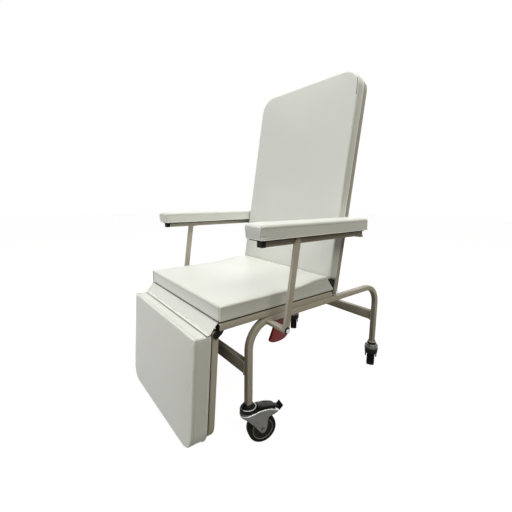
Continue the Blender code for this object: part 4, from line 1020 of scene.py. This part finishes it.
# %% Flap between seat and leg rest
FLAP_WIDTH = 0.484
FLAP_THICKNESS = 1.2 * MM
FLAP_COLUMNS = 120
FLAP_ROWS = 14
leg_top = LEG_PIVOT.z + 2.5 * MM + LEG_SIZE[2] * math.sin(LEG_LEAN) + 1.4 * MM
leg_back = LEG_PIVOT.y + PANEL_CUSHION
flap_head = Vector((SEAT_FRONT - 0.3 * MM, SEAT_LOW.z - 1.2 * MM))
flap_fold = Vector((leg_back - 4 * MM, leg_top + 1.6 * MM))
flap_hem = Vector((leg_back - 12 * MM, leg_top + 0.4 * MM))
FOLD_SHARE = 0.82
FLAP_BULGE = 1.2 * MM


def flap_line(share):
    """The strip's section: nearly straight down to its fold, then flat on the leg rest's top."""
    down = share / FOLD_SHARE
    if down > 1:
        return flap_fold.lerp(flap_hem, (share - FOLD_SHARE) / (1 - FOLD_SHARE))
    return flap_head.lerp(flap_fold, down) + Vector((-0.7, 0.7)) * FLAP_BULGE * math.sin(math.pi * down)


WRINKLES = [(-0.205, 9, 0.9, 0.3), (-0.150, 14, 1.5, -0.5), (-0.085, 10, 1.2, 0.6), (-0.030, 16, 1.9, 0.4),
            (0.022, 8, -0.9, -0.3), (0.060, 13, 1.6, -0.6), (0.118, 10, 1.1, 0.5), (0.170, 15, 1.5, -0.3),
            (0.215, 8, 0.8, 0.4)]
points = []
faces = []
for r in range(FLAP_ROWS + 1):
    share = r / FLAP_ROWS
    y, z = flap_line(share)
    ahead_of = flap_line(min(share + 0.01, 1)) - flap_line(max(share - 0.01, 0))
    out = Vector((ahead_of.y, -ahead_of.x)).normalized()
    if out.y < 0:
        out = -out
    for c in range(FLAP_COLUMNS + 1):
        x = FLAP_WIDTH * (c / FLAP_COLUMNS - 0.5)
        lift = sum(high * math.exp(-((x - at - lean * (share - 0.5) * 0.03) / (wide * MM)) ** 2)
                   for at, wide, high, lean in WRINKLES)
        lift += 0.6 * noise.noise(Vector((x * 60, share * 4, 2.0)))
        lift *= math.sin(math.pi * share) ** 1.5 * MM
        points.append((x, y + out.x * lift, z + out.y * lift))
for r in range(FLAP_ROWS):
    for c in range(FLAP_COLUMNS):
        here = r * (FLAP_COLUMNS + 1) + c
        faces.append((here, here + FLAP_COLUMNS + 1, here + FLAP_COLUMNS + 2, here + 1))
flap = mesh_object("hinge_flap_sheet", thickened(points, faces, FLAP_THICKNESS), VINYL, smooth_angle=70.0)
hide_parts("hinge_flap")
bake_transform(flap)
for name, share, body in (("flap_upper_stitches", 0.04, "base"), ("flap_lower_stitches", 0.83, "leg_rest")):
    y, z = flap_line(share)
    path = [Vector((FLAP_WIDTH * (i / 80 - 0.5) * 0.99, y - 0.3 * MM, z + 0.7 * MM)) for i in range(81)]
    settle(row(name, [(path, False)], 3.6 * MM, (0.55 * MM, 0.55 * MM, 1.8 * MM), DARK_THREAD_AND_SHADE), body, "vinyl_strip")

# %% [markdown]
# Steel tubes are joined by welds, and a hand-made weld is a row of overlapping drops. Rows of flattened beads of
# slightly different sizes run round each joint, painted over with the frame.

# %% Welds
WELD = (2.4 * MM, 2.4 * MM, 1.7 * MM)
WELD_PITCH = 2.3 * MM


def ring_about(place, half_y, half_z):
    """A rectangle round a bar that runs along X."""
    corners = [(-1, -1), (1, -1), (1, 1), (-1, 1)]
    path = []
    for (y0, z0), (y1, z1) in zip(corners, corners[1:] + corners[:1]):
        for i in range(6):
            y = y0 + (y1 - y0) * i / 6
            z = z0 + (z1 - z0) * i / 6
            path.append(place + Vector((0, y * half_y, z * half_z)))
    return path, True


base_welds = []
for bar in ("front_cross_bar", "rear_cross_bar"):
    low, high = corners_of(bar)
    half = (high - low) / 2
    for x in (low.x, high.x):
        base_welds.append(ring_about(Vector((x, low.y + half.y, low.z + half.z)), half.y, half.z))
for side in ("left", "right"):
    low, high = corners_of(f"arm_stub_{side}")
    root = middle(f"arm_stub_{side}")
    root.x = low.x if side == "left" else high.x
    base_welds.append(ring_about(root, 10 * MM, 5 * MM))
settle(row("base_welds", base_welds, WELD_PITCH, WELD, PAINT, 0.22, 11), "base", "frame_paint")
for name, node, body in (("back_welds", "back_lower_tube", "backrest"), ("leg_welds", "leg_top_tube", "leg_rest")):
    axis, lean, rise = (BACK_PIVOT, BACK_LEAN, 60 * MM) if body == "backrest" else (LEG_PIVOT, LEG_LEAN, -60 * MM)
    tilt = Matrix.Translation(axis) @ Matrix.Rotation(-lean, 4, "X")
    low, high = corners_of(node)
    paths = []
    for x in (low.x, high.x):
        path, cyclic = ring_about(Vector((x, 0, rise)), TUBE / 2, TUBE / 2)
        paths.append(([tilt @ point for point in path], cyclic))
    settle(row(name, paths, WELD_PITCH, WELD, PAINT, 0.22, 13), body, "frame_paint")
print(len(base_welds) + 4, "weld rings")

# %% [markdown]
# The casters are bought parts. A fork is stamped from one steel sheet: it wraps round the front under the bearing
# head, and its two sides run back and down to the axle. Its upper edge is rolled into a bright lip. It is laid out
# as a sheet whose upper and lower edges follow two curves, and then thickened. The wheel has a rubber tyre on a
# plastic hub, with a thin light ring where the two meet, its lightness a painted highlight. On the front pair a black
# cap with a bright race in it covers the bearing, and a brake pedal reaches back over the wheel.

# %% Casters
WHEEL_RADIUS = 46 * MM
TRAIL = 43 * MM
FORK_WALL = 2.4 * MM
FORK_FOOT = 18.3
NOSE = -4
REAR_FOOT = 20.6
REAR_WEB = 82
REAR_CREST = 103
REAR_FALL = 0.4
REAR_LEAST = 5
CREST = [(-25, 104.8), (-12, 106.3), (5, 108.2), (21, 112.0), (32, 114.2), (49, 114.3), (60, 113.0), (72, 110.3),
         (84, 105.8), (92, 101.2)]
LOWER = [(-25, 99), (-15, 96), (-8, 91), (3, 78.5), (14, 66.5), (25, 51.7), (31, 44.5), (36.5, 38.2), (43, 35.2),
         (49, 38), (53.5, 45.5), (56, 56.5), (57, 72), (58, 81), (61, 87.2), (68, 89.6), (78, 91), (92, 97.6)]
SIDE_STEPS = [92, 88, 84, 78, 72, 66, 62, 60, 58.5, 57.6, 57, 56.4, 55.6, 54.4, 52.5, 50, 47, 43, 39, 36, 33, 29, 25,
              20, 14, 8, 3, -1]
FORK_ROWS = 8


def between(table, x):
    """Read a table of places and values at a place between two of its lines."""
    for (x0, value0), (x1, value1) in zip(table, table[1:]):
        if x <= x1:
            return value0 + (value1 - value0) * max(x - x0, 0) / (x1 - x0)
    return table[-1][1]


def fork_shell(tail, foot, flare, flare_over, web=None, crest=None):
    """A fork's sheet and the line of its upper edge. Its sides end at a tail's length behind the stem."""
    steps = [x for x in SIDE_STEPS if x <= tail]
    columns = [(x, 0.0) for x in steps] + [(NOSE, math.pi * i / 16) for i in range(17)]
    columns += [(x, math.pi) for x in reversed(steps)]

    def at(x, angle, z, out=0.0):
        half = foot + flare * eased((z - 60) / flare_over) + out
        return Vector((x - half * math.sin(angle), -half * math.cos(angle), z)) * MM

    points = []
    faces = []
    upper = []
    for x, angle in columns:
        reach = x - foot * math.sin(angle)
        high, low = between(CREST, reach), between(LOWER, reach)
        if web:
            low = min(low, web)
            high = max(min(high, crest - REAR_FALL * max(reach, 0)), low + REAR_LEAST)
        points += [at(x, angle, high + (low - high) * r / FORK_ROWS) for r in range(FORK_ROWS + 1)]
        upper.append(at(x, angle, high, 1.6))
    for c in range(len(upper) - 1):
        for r in range(FORK_ROWS):
            here = c * (FORK_ROWS + 1) + r
            faces.append((here, here + 1, here + FORK_ROWS + 2, here + FORK_ROWS + 1))
    return thickened(points, faces, FORK_WALL), upper


fork_sheet, lip = fork_shell(92, FORK_FOOT, 2.2, 45)
rear_fork_sheet, rear_lip = fork_shell(66, REAR_FOOT, 5.0, 30, REAR_WEB, REAR_CREST)
print("fork sheets", len(fork_sheet.polygons), len(rear_fork_sheet.polygons), "faces")

# %% [markdown]
# Round parts are turned from a profile, as on a lathe, and long ones are drawn through a row of sections. The
# pedal's arm is such a row: wide at the bearing, narrow at its tail, where a tilted toe plate is moulded on.

# %% Caster parts


def slab(outline, low_y, high_y, round_by=0.0):
    """An outline of X and Z with a thickness along Y."""
    bm = bmesh.new()
    face = bm.faces.new([bm.verts.new((x, low_y, z)) for x, z in outline])
    grown = bmesh.ops.extrude_face_region(bm, geom=[face])
    for vert in grown["geom"]:
        if isinstance(vert, bmesh.types.BMVert):
            vert.co.y = high_y
    bmesh.ops.recalc_face_normals(bm, faces=bm.faces)
    if round_by:
        rims = [edge for edge in bm.edges if edge.calc_face_angle(0) > math.radians(40)]
        bmesh.ops.bevel(bm, geom=rims, offset=round_by, segments=3, profile=0.5, affect="EDGES",
                        clamp_overlap=True)
    mesh = bpy.data.meshes.new("slab")
    bm.to_mesh(mesh)
    bm.free()
    return cleaned(mesh)


def block(low, high, round_by):
    """A box between two corners, with rounded edges."""
    outline = [(low[0], low[2]), (high[0], low[2]), (high[0], high[2]), (low[0], high[2])]
    return slab(outline, low[1], high[1], round_by)


def lofted(sections):
    """A closed skin over a row of loops with as many points each."""
    count = len(sections[0])
    points = [point for loop in sections for point in loop]
    faces = [tuple(range(count)), tuple(range(len(points) - count, len(points)))]
    for s in range(len(sections) - 1):
        for i in range(count):
            here = s * count + i
            after = s * count + (i + 1) % count
            faces.append((here, after, after + count, here + count))
    return cleaned(new_mesh("lofted", points, faces))


def rounded_box(half_y, low, high, steps=20):
    """A soft rectangle of Y and Z."""
    loop = []
    for i in range(steps):
        angle = 2 * math.pi * i / steps
        across = math.copysign(abs(math.cos(angle)) ** 0.45, math.cos(angle))
        rise = math.copysign(abs(math.sin(angle)) ** 0.6, math.sin(angle))
        loop.append((half_y * across, (low + high) / 2 + (high - low) / 2 * rise))
    return loop


def in_mm(profile):
    return [(radius * MM, level * MM) for radius, level in profile]


def lathe_y(profile, steps=64):
    """A profile of radius and width, turned about the wheel's axle."""
    mesh = turned(in_mm(profile), steps)
    mesh.transform(Matrix.Rotation(math.pi / 2, 4, "X"))
    return mesh


def mirror_profile(half):
    """A closed profile from its upper half, given from the inside outwards."""
    return half + [(radius, -width) for radius, width in reversed(half)]


def nut(radius, thickness, y):
    """A hexagon nut with rounded corners about the axle."""
    outline = [(radius * math.cos(math.pi * k / 3), radius * math.sin(math.pi * k / 3)) for k in range(6)]
    return slab(outline, min(y, y + thickness), max(y, y + thickness), 0.6 * MM)


TYRE = mirror_profile([(34.0, 14.2), (36.0, 15.4), (38.5, 16.3), (41.0, 16.4), (43.2, 15.4), (44.7, 13.4),
                       (45.5, 10.4), (45.9, 6.0), (46.0, 1.5)])
RING = mirror_profile([(32.2, 14.6), (32.8, 15.2), (33.6, 15.2), (33.9, 14.5)])
HUB = mirror_profile([(4.6, 15.2), (9.0, 15.2), (10.6, 14.6), (11.4, 12.6), (13.0, 11.2), (18.0, 10.4),
                      (25.0, 10.8), (28.0, 12.0), (29.6, 13.8), (30.8, 14.4), (32.1, 14.4)])
FRONT_HEAD = [(5.6, 104.5), (20.0, 104.5), (24.4, 106.2), (25.8, 110.5), (26.0, 114.0), (25.4, 115.2), (24.7, 116.0),
              (25.4, 116.8), (25.8, 118.6), (25.0, 120.8), (23.0, 121.9), (5.6, 121.9)]
REAR_HEAD = [(5.6, 101.5), (25.4, 101.5), (26.6, 102.6), (26.8, 105.0), (25.6, 111.0), (24.4, 116.5), (22.8, 120.2),
             (20.4, 121.9), (5.6, 121.9)]
CAP_SKIRT = [(25.0, 123.4), (25.6, 124.0), (26.4, 123.2), (26.9, 120.0), (26.9, 112.6), (26.3, 112.2), (26.1, 119.5),
             (25.7, 122.0), (25.0, 122.6)]
CAP_CROWN = [(14.0, 134.2), (15.0, 134.8), (16.6, 133.8), (18.0, 131.2), (18.7, 128.4), (18.8, 122.4), (18.2, 122.4),
             (18.2, 129.2), (14.0, 129.2)]
CAP_RACE = [(22.2, 121.4), (25.1, 121.4), (25.1, 125.2), (24.4, 126.0), (22.8, 126.0), (22.2, 125.2)]
CAP_DECK = [(18.2, 120.6), (25.4, 120.6), (25.4, 122.6), (18.2, 122.6)]
CAP_OVAL = Matrix.Diagonal((1, 0.86, 1, 1))
REAR_RIM = [(24.0, 101.4), (27.2, 101.4), (27.5, 102.4), (27.2, 104.0), (24.0, 104.0)]
COLLAR = [(13.7, 134.6), (15.8, 134.6), (16.6, 133.8), (16.6, 130.0), (16.0, 129.0), (13.7, 129.0)]
ROOF = [(-20, 104), (5, 106.2), (21, 109.2), (33, 110.8), (50, 110.8), (60, 109.8), (72, 107.2), (84, 102.8),
        (88, 101), (86, 99.6), (72, 104.6), (50, 108.2), (21, 106.6), (-20, 101.5)]
PEDAL = [(28.6, 15.5, 112.4, 124.0), (36, 16.0, 112.2, 121.8), (50, 14.0, 112.0, 118.4), (66, 12.0, 110.4, 115.0),
         (82, 11.0, 106.0, 111.6), (91, 10.5, 99.5, 108.4), (101, 12.0, 92.5, 103.6)]
TOE = [(97.4, 96.8), (100.4, 93.2), (113.2, 106.8), (110.4, 110.2)]
TOE_HALF = 14 * MM
YOKE_TURN = 62
YOKE = (28.2, 30.2, 112.4, 119.5)


def pedal_parts():
    """The arm, the toe plate and the yoke that clips the pedal round the cap."""
    arm = [[Vector((x, y, z)) * MM for y, z in rounded_box(*rest)] for x, *rest in PEDAL]
    inner, outer, low, high = YOKE
    yoke = []
    for i in range(25):
        angle = math.radians(YOKE_TURN * (i / 12 - 1))
        outward = CAP_OVAL @ Vector((math.cos(angle), math.sin(angle), 0))
        corners = ((inner, low), (outer, low), (outer, high), (inner, high))
        yoke.append([(outward * radius + Vector((0, 0, level))) * MM for radius, level in corners])
    return [lofted(arm), lofted(yoke), slab(in_mm(TOE), -TOE_HALF, TOE_HALF, 0.9 * MM)]


# %% [markdown]
# The same parts serve all four casters. Each caster's own axis is found from its stem and its wheel, so that the
# pieces stand exactly where the engineering model has them, and turn and roll with it.

# %% Casters put together
CASTERS = ("front_left", "front_right", "rear_left", "rear_right")
ROOF_HALF = 17 * MM
NUT = (6.5 * MM, 3.4 * MM)
NUT_SEAT = 1.2


def add(name, meshes, material, matrix, on_body, slot, *stands_for):
    """Join solids made about a caster's own axis and settle them on the chair."""
    piece = joined(f"{name}_{place}", meshes, material)
    piece.data.transform(matrix)
    return settle(piece, on_body, slot, *stands_for)


for place in CASTERS:
    stem = middle(f"caster_stem_{place}")
    axle = middle(f"caster_tyre_{place}")
    at_stem = Matrix.Translation((stem.x, stem.y, 0))
    swivel = at_stem @ Matrix.Rotation(math.atan2(axle.y - stem.y, axle.x - stem.x), 4, "Z")
    at_axle = swivel @ Matrix.Translation((TRAIL, 0, WHEEL_RADIUS))
    front = place.startswith("front")
    body = f"swivel_{place}"

    outside = ((FORK_FOOT if front else REAR_FOOT) + NUT_SEAT) * MM
    nuts = [nut(NUT[0], sign * NUT[1], sign * outside) for sign in (1, -1)]
    for mesh in nuts:
        mesh.transform(Matrix.Translation((TRAIL, 0, WHEEL_RADIUS)))
    roof = slab(in_mm(ROOF), -ROOF_HALF, ROOF_HALF)
    if front:
        head = turned(in_mm(FRONT_HEAD))
        head.transform(CAP_OVAL)
        fork = [fork_sheet, roof, head] + nuts
        add("caster_fork_stamped", fork, FORK_STEEL, swivel, body, "zinc", f"caster_fork_{place}")
        add("caster_lip", [cord(lip, 1.6 * MM, False)], ZINC, swivel, body, "zinc")
    else:
        # The rear forks and their lips are near-black: painted shade on the rear casters.
        add("caster_fork_stamped", [rear_fork_sheet] + nuts, DARK_PAINT_AND_SHADE, swivel, body, "zinc", f"caster_fork_{place}")
        add("caster_lip", [cord(rear_lip, 1.3 * MM, False)], DARK_PAINT_AND_SHADE, swivel, body, "zinc")
        add("caster_head", [turned(in_mm(REAR_HEAD))], FORK_STEEL, swivel, body, "zinc")
        # The light rim under each rear head is a painted highlight.
        add("caster_rim", [turned(in_mm(REAR_RIM))], RING_PAINTED_HIGHLIGHT, swivel, body, "zinc")
    add("caster_tread", [lathe_y(TYRE)], RUBBER, at_axle, f"wheel_{place}", "tyre", f"caster_tyre_{place}")
    add("caster_ring", [lathe_y(RING)], RING_PAINTED_HIGHLIGHT, at_axle, f"wheel_{place}", "black_plastic")
    add("caster_disc", [lathe_y(HUB)], HUB_PLASTIC_PAINTED_REFLECTION, at_axle, f"wheel_{place}", "black_plastic", f"caster_hub_{place}")
    if front:
        skirt, deck, race = (turned(in_mm(profile)) for profile in (CAP_SKIRT, CAP_DECK, CAP_RACE))
        for mesh in (skirt, deck, race):
            mesh.transform(CAP_OVAL)
        add("caster_cap", [skirt, deck, turned(in_mm(CAP_CROWN))], PLASTIC, swivel, body, "black_plastic")
        add("caster_race", [race], ZINC, swivel, body, "zinc")
        pedal_body = nodes[f"brake_pedal_{place}"]["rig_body"]
        add("brake_pedal_moulded", pedal_parts(), PLASTIC, swivel, pedal_body, "black_plastic",
            f"brake_pedal_{place}")
        nodes[f"caster_stem_{place}"].data.materials[0] = PLASTIC
    else:
        add("caster_collar", [turned(in_mm(COLLAR))], PAINT, at_stem, "base", "frame_paint")
        nodes[f"caster_stem_{place}"].data.materials[0] = DARK_PAINT_AND_SHADE
print(len(CASTERS), "casters")

# %% [markdown]
# Steel plates carry the pins that the leg rest turns on. Each has a round lug about its pin and a tail that runs
# back under the seat frame. The plates are near-black, painted shade under the seat's front edge. A black plastic
# sleeve closes the front end of each arm rail.

# %% Hinge plates and sleeves


def fitted(name, mesh, material, body, slot, *stands_for):
    """A small part with crisp edges, settled on the chair."""
    return settle(mesh_object(name, mesh, material, smooth_angle=40.0), body, slot, *stands_for)


PLATE = 4.5 * MM
PLATE_TAIL = 24 * MM
for side, sign in (("left", 1), ("right", -1)):
    low, high = corners_of(f"leg_hinge_bracket_{side}")
    lug = LEG_PIVOT.y - low.y
    outline = [(LEG_PIVOT.y + lug / 2, high.z)]
    for i in range(13):
        angle = math.radians(120 + 170 * i / 12)
        outline.append((LEG_PIVOT.y + lug * math.cos(angle), LEG_PIVOT.z + lug * math.sin(angle)))
    outline += [(SEAT_FRONT + PLATE_TAIL * 0.6, LEG_PIVOT.z), (SEAT_FRONT + PLATE_TAIL, high.z)]
    outer = high.x if sign > 0 else -low.x
    inner = low.x if sign > 0 else -high.x
    plate = slab(outline, -outer, PLATE - outer, 0.6 * MM)
    plate.transform(Matrix.Rotation(math.pi / 2, 4, "Z"))
    pin = turned([(0, 0), (4 * MM, 0), (4 * MM, outer - inner - PLATE / 2), (0, outer - inner - PLATE / 2)], 24)
    pin.transform(Matrix.Translation((inner, LEG_PIVOT.y, LEG_PIVOT.z)) @ Matrix.Rotation(math.pi / 2, 4, "Y"))
    # Near-black: painted shade under the seat's front edge.
    plates = joined(f"leg_hinge_plate_{side}", [plate, pin], DARK_PAINT_AND_SHADE)
    if sign < 0:
        plates.data.transform(MIRROR)
        plates.data.flip_normals()
    settle(plates, "base", "dark_paint", f"leg_hinge_bracket_{side}")
SLEEVE_PROUD = 0.5 * MM
SLEEVE_LENGTH = 15 * MM
for side in ("left", "right"):
    low, high = corners_of(f"arm_cap_{side}")
    sleeve = block((low.x - SLEEVE_PROUD, low.y, low.z - SLEEVE_PROUD),
                   (high.x + SLEEVE_PROUD, low.y + SLEEVE_LENGTH, high.z), 1.4 * MM)
    fitted(f"arm_rail_sleeve_{side}", sleeve, PLASTIC, f"armrest_{side}", "black_plastic", f"arm_cap_{side}")
print("plates and sleeves on both sides")

# %% [markdown]
# The backrest's foot has a gusset on each side, near-black as painted shade at the backrest's foot; the seat frame's
# front ends have black plugs, and each armrest lies on a thin board, near-black as painted shade under the pad, that
# is clamped to its rail above the post. All are cut from sheet or moulded, so each is an outline with a thickness and
# slightly rounded edges.

# %% Gussets, plugs, boards and clamps
GUSSET = [(-30, 37), (-17, 21), (-9, 9.5), (-1, 15), (8, 63), (-42, 63)]
GUSSET_X = (0.2405, 0.2445)
BOARD_INSET = 11 * MM
BOARD_DROP = 3.6 * MM
CLAMP_PLACE = -0.177
CLAMP_HALF = 8 * MM
CLAMP_PROUD = 1.3 * MM
CLAMP_DROP = 1 * MM
PLUG_INSET = 0.6 * MM
PLUG_PROUD = 1.4 * MM
for side, sign in (("left", 1), ("right", -1)):
    outline = [(BACK_PIVOT.y + y * MM, BACK_PIVOT.z + z * MM) for y, z in GUSSET]
    across = sorted(-sign * x for x in GUSSET_X)
    gusset = slab(outline, across[0], across[1], 0.5 * MM)
    gusset.transform(Matrix.Rotation(math.pi / 2, 4, "Z"))
    # Near-black: painted shade at the backrest's foot.
    fitted(f"back_gusset_{side}", gusset, DARK_PAINT_AND_SHADE, "backrest", "frame_paint")
    low, high = corners_of("seat_frame")
    left, right = sorted((sign * (high.x - PLUG_INSET), sign * (high.x - TUBE + PLUG_INSET)))
    plug = block((left, low.y - PLUG_PROUD, low.z + PLUG_INSET), (right, low.y + 1 * MM, high.z - PLUG_INSET),
                 0.5 * MM)
    fitted(f"seat_frame_plug_{side}", plug, PLASTIC, "base", "black_plastic")
    low, high = corners_of(f"arm_pad_{side}")
    board = block((low.x + BOARD_INSET, low.y + BOARD_INSET, low.z - BOARD_DROP),
                  (high.x - BOARD_INSET, high.y - BOARD_INSET, low.z + 1 * MM), 0.6 * MM)
    # Near-black: painted shade under the pad.
    fitted(f"arm_board_{side}", board, LINING_AND_SHADE, f"armrest_{side}", "board")
    low, high = corners_of(f"arm_cap_{side}")
    clamp = block((low.x - CLAMP_PROUD, CLAMP_PLACE - CLAMP_HALF, low.z - CLAMP_PROUD),
                  (high.x + CLAMP_PROUD, CLAMP_PLACE + CLAMP_HALF, high.z - CLAMP_DROP), 1.0 * MM)
    fitted(f"arm_clamp_{side}", clamp, PAINT, f"armrest_{side}", "frame_paint")
print("gussets, plugs, boards and clamps on both sides")

# %% [markdown]
# A washer lies under each pivot bolt, near-black as painted shade round the bolt head, and tacks hold the edge of the
# lining that covers the boards' backs. The tacks are a guess, as the picture does not show them.

# %% Washers and tacks
WASHER = [(4.4, 0.0), (10.0, 0.0), (10.4, 0.4), (10.4, 1.1), (10.0, 1.5), (4.4, 1.5)]
WASHER_SEAT = 5.3 * MM
for side, sign in (("left", 1), ("right", -1)):
    low, high = corners_of(f"post_bolt_{side}")
    outer = high.x if sign > 0 else low.x
    washer = turned(in_mm(WASHER), 32)
    washer.transform(Matrix.Translation((outer - sign * WASHER_SEAT, POST_FOOT.y, POST_FOOT.z))
                     @ Matrix.Rotation(sign * math.pi / 2, 4, "Y"))
    # Near-black: painted shade round the bolt head.
    fitted(f"post_washer_{side}", washer, DARK_PAINT_AND_SHADE, "base", "dark_paint")
TACK = (2.6 * MM, 2.6 * MM, 2.6 * MM)
TACK_PITCH = 38 * MM
TACK_INSET = 44 * MM
TACK_LEVEL = -8.2 * MM
for name, cover, body in (("back", back, "backrest"), ("leg", leg, "leg_rest")):
    path = cover.rim(TACK_INSET, TACK_LEVEL)
    tacks = row(f"{name}_tacks", [(path, True)], TACK_PITCH, TACK, STEEL)
    settle(tacks, body, "steel")
print("washers on both posts, tacks on both linings")

# %% [markdown]
# The finished looks are measured: the box round every visible piece is printed.

# %% Measure and finish
low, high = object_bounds()
print("visual box", [round(c, 4) for c in low], [round(c, 4) for c in high])
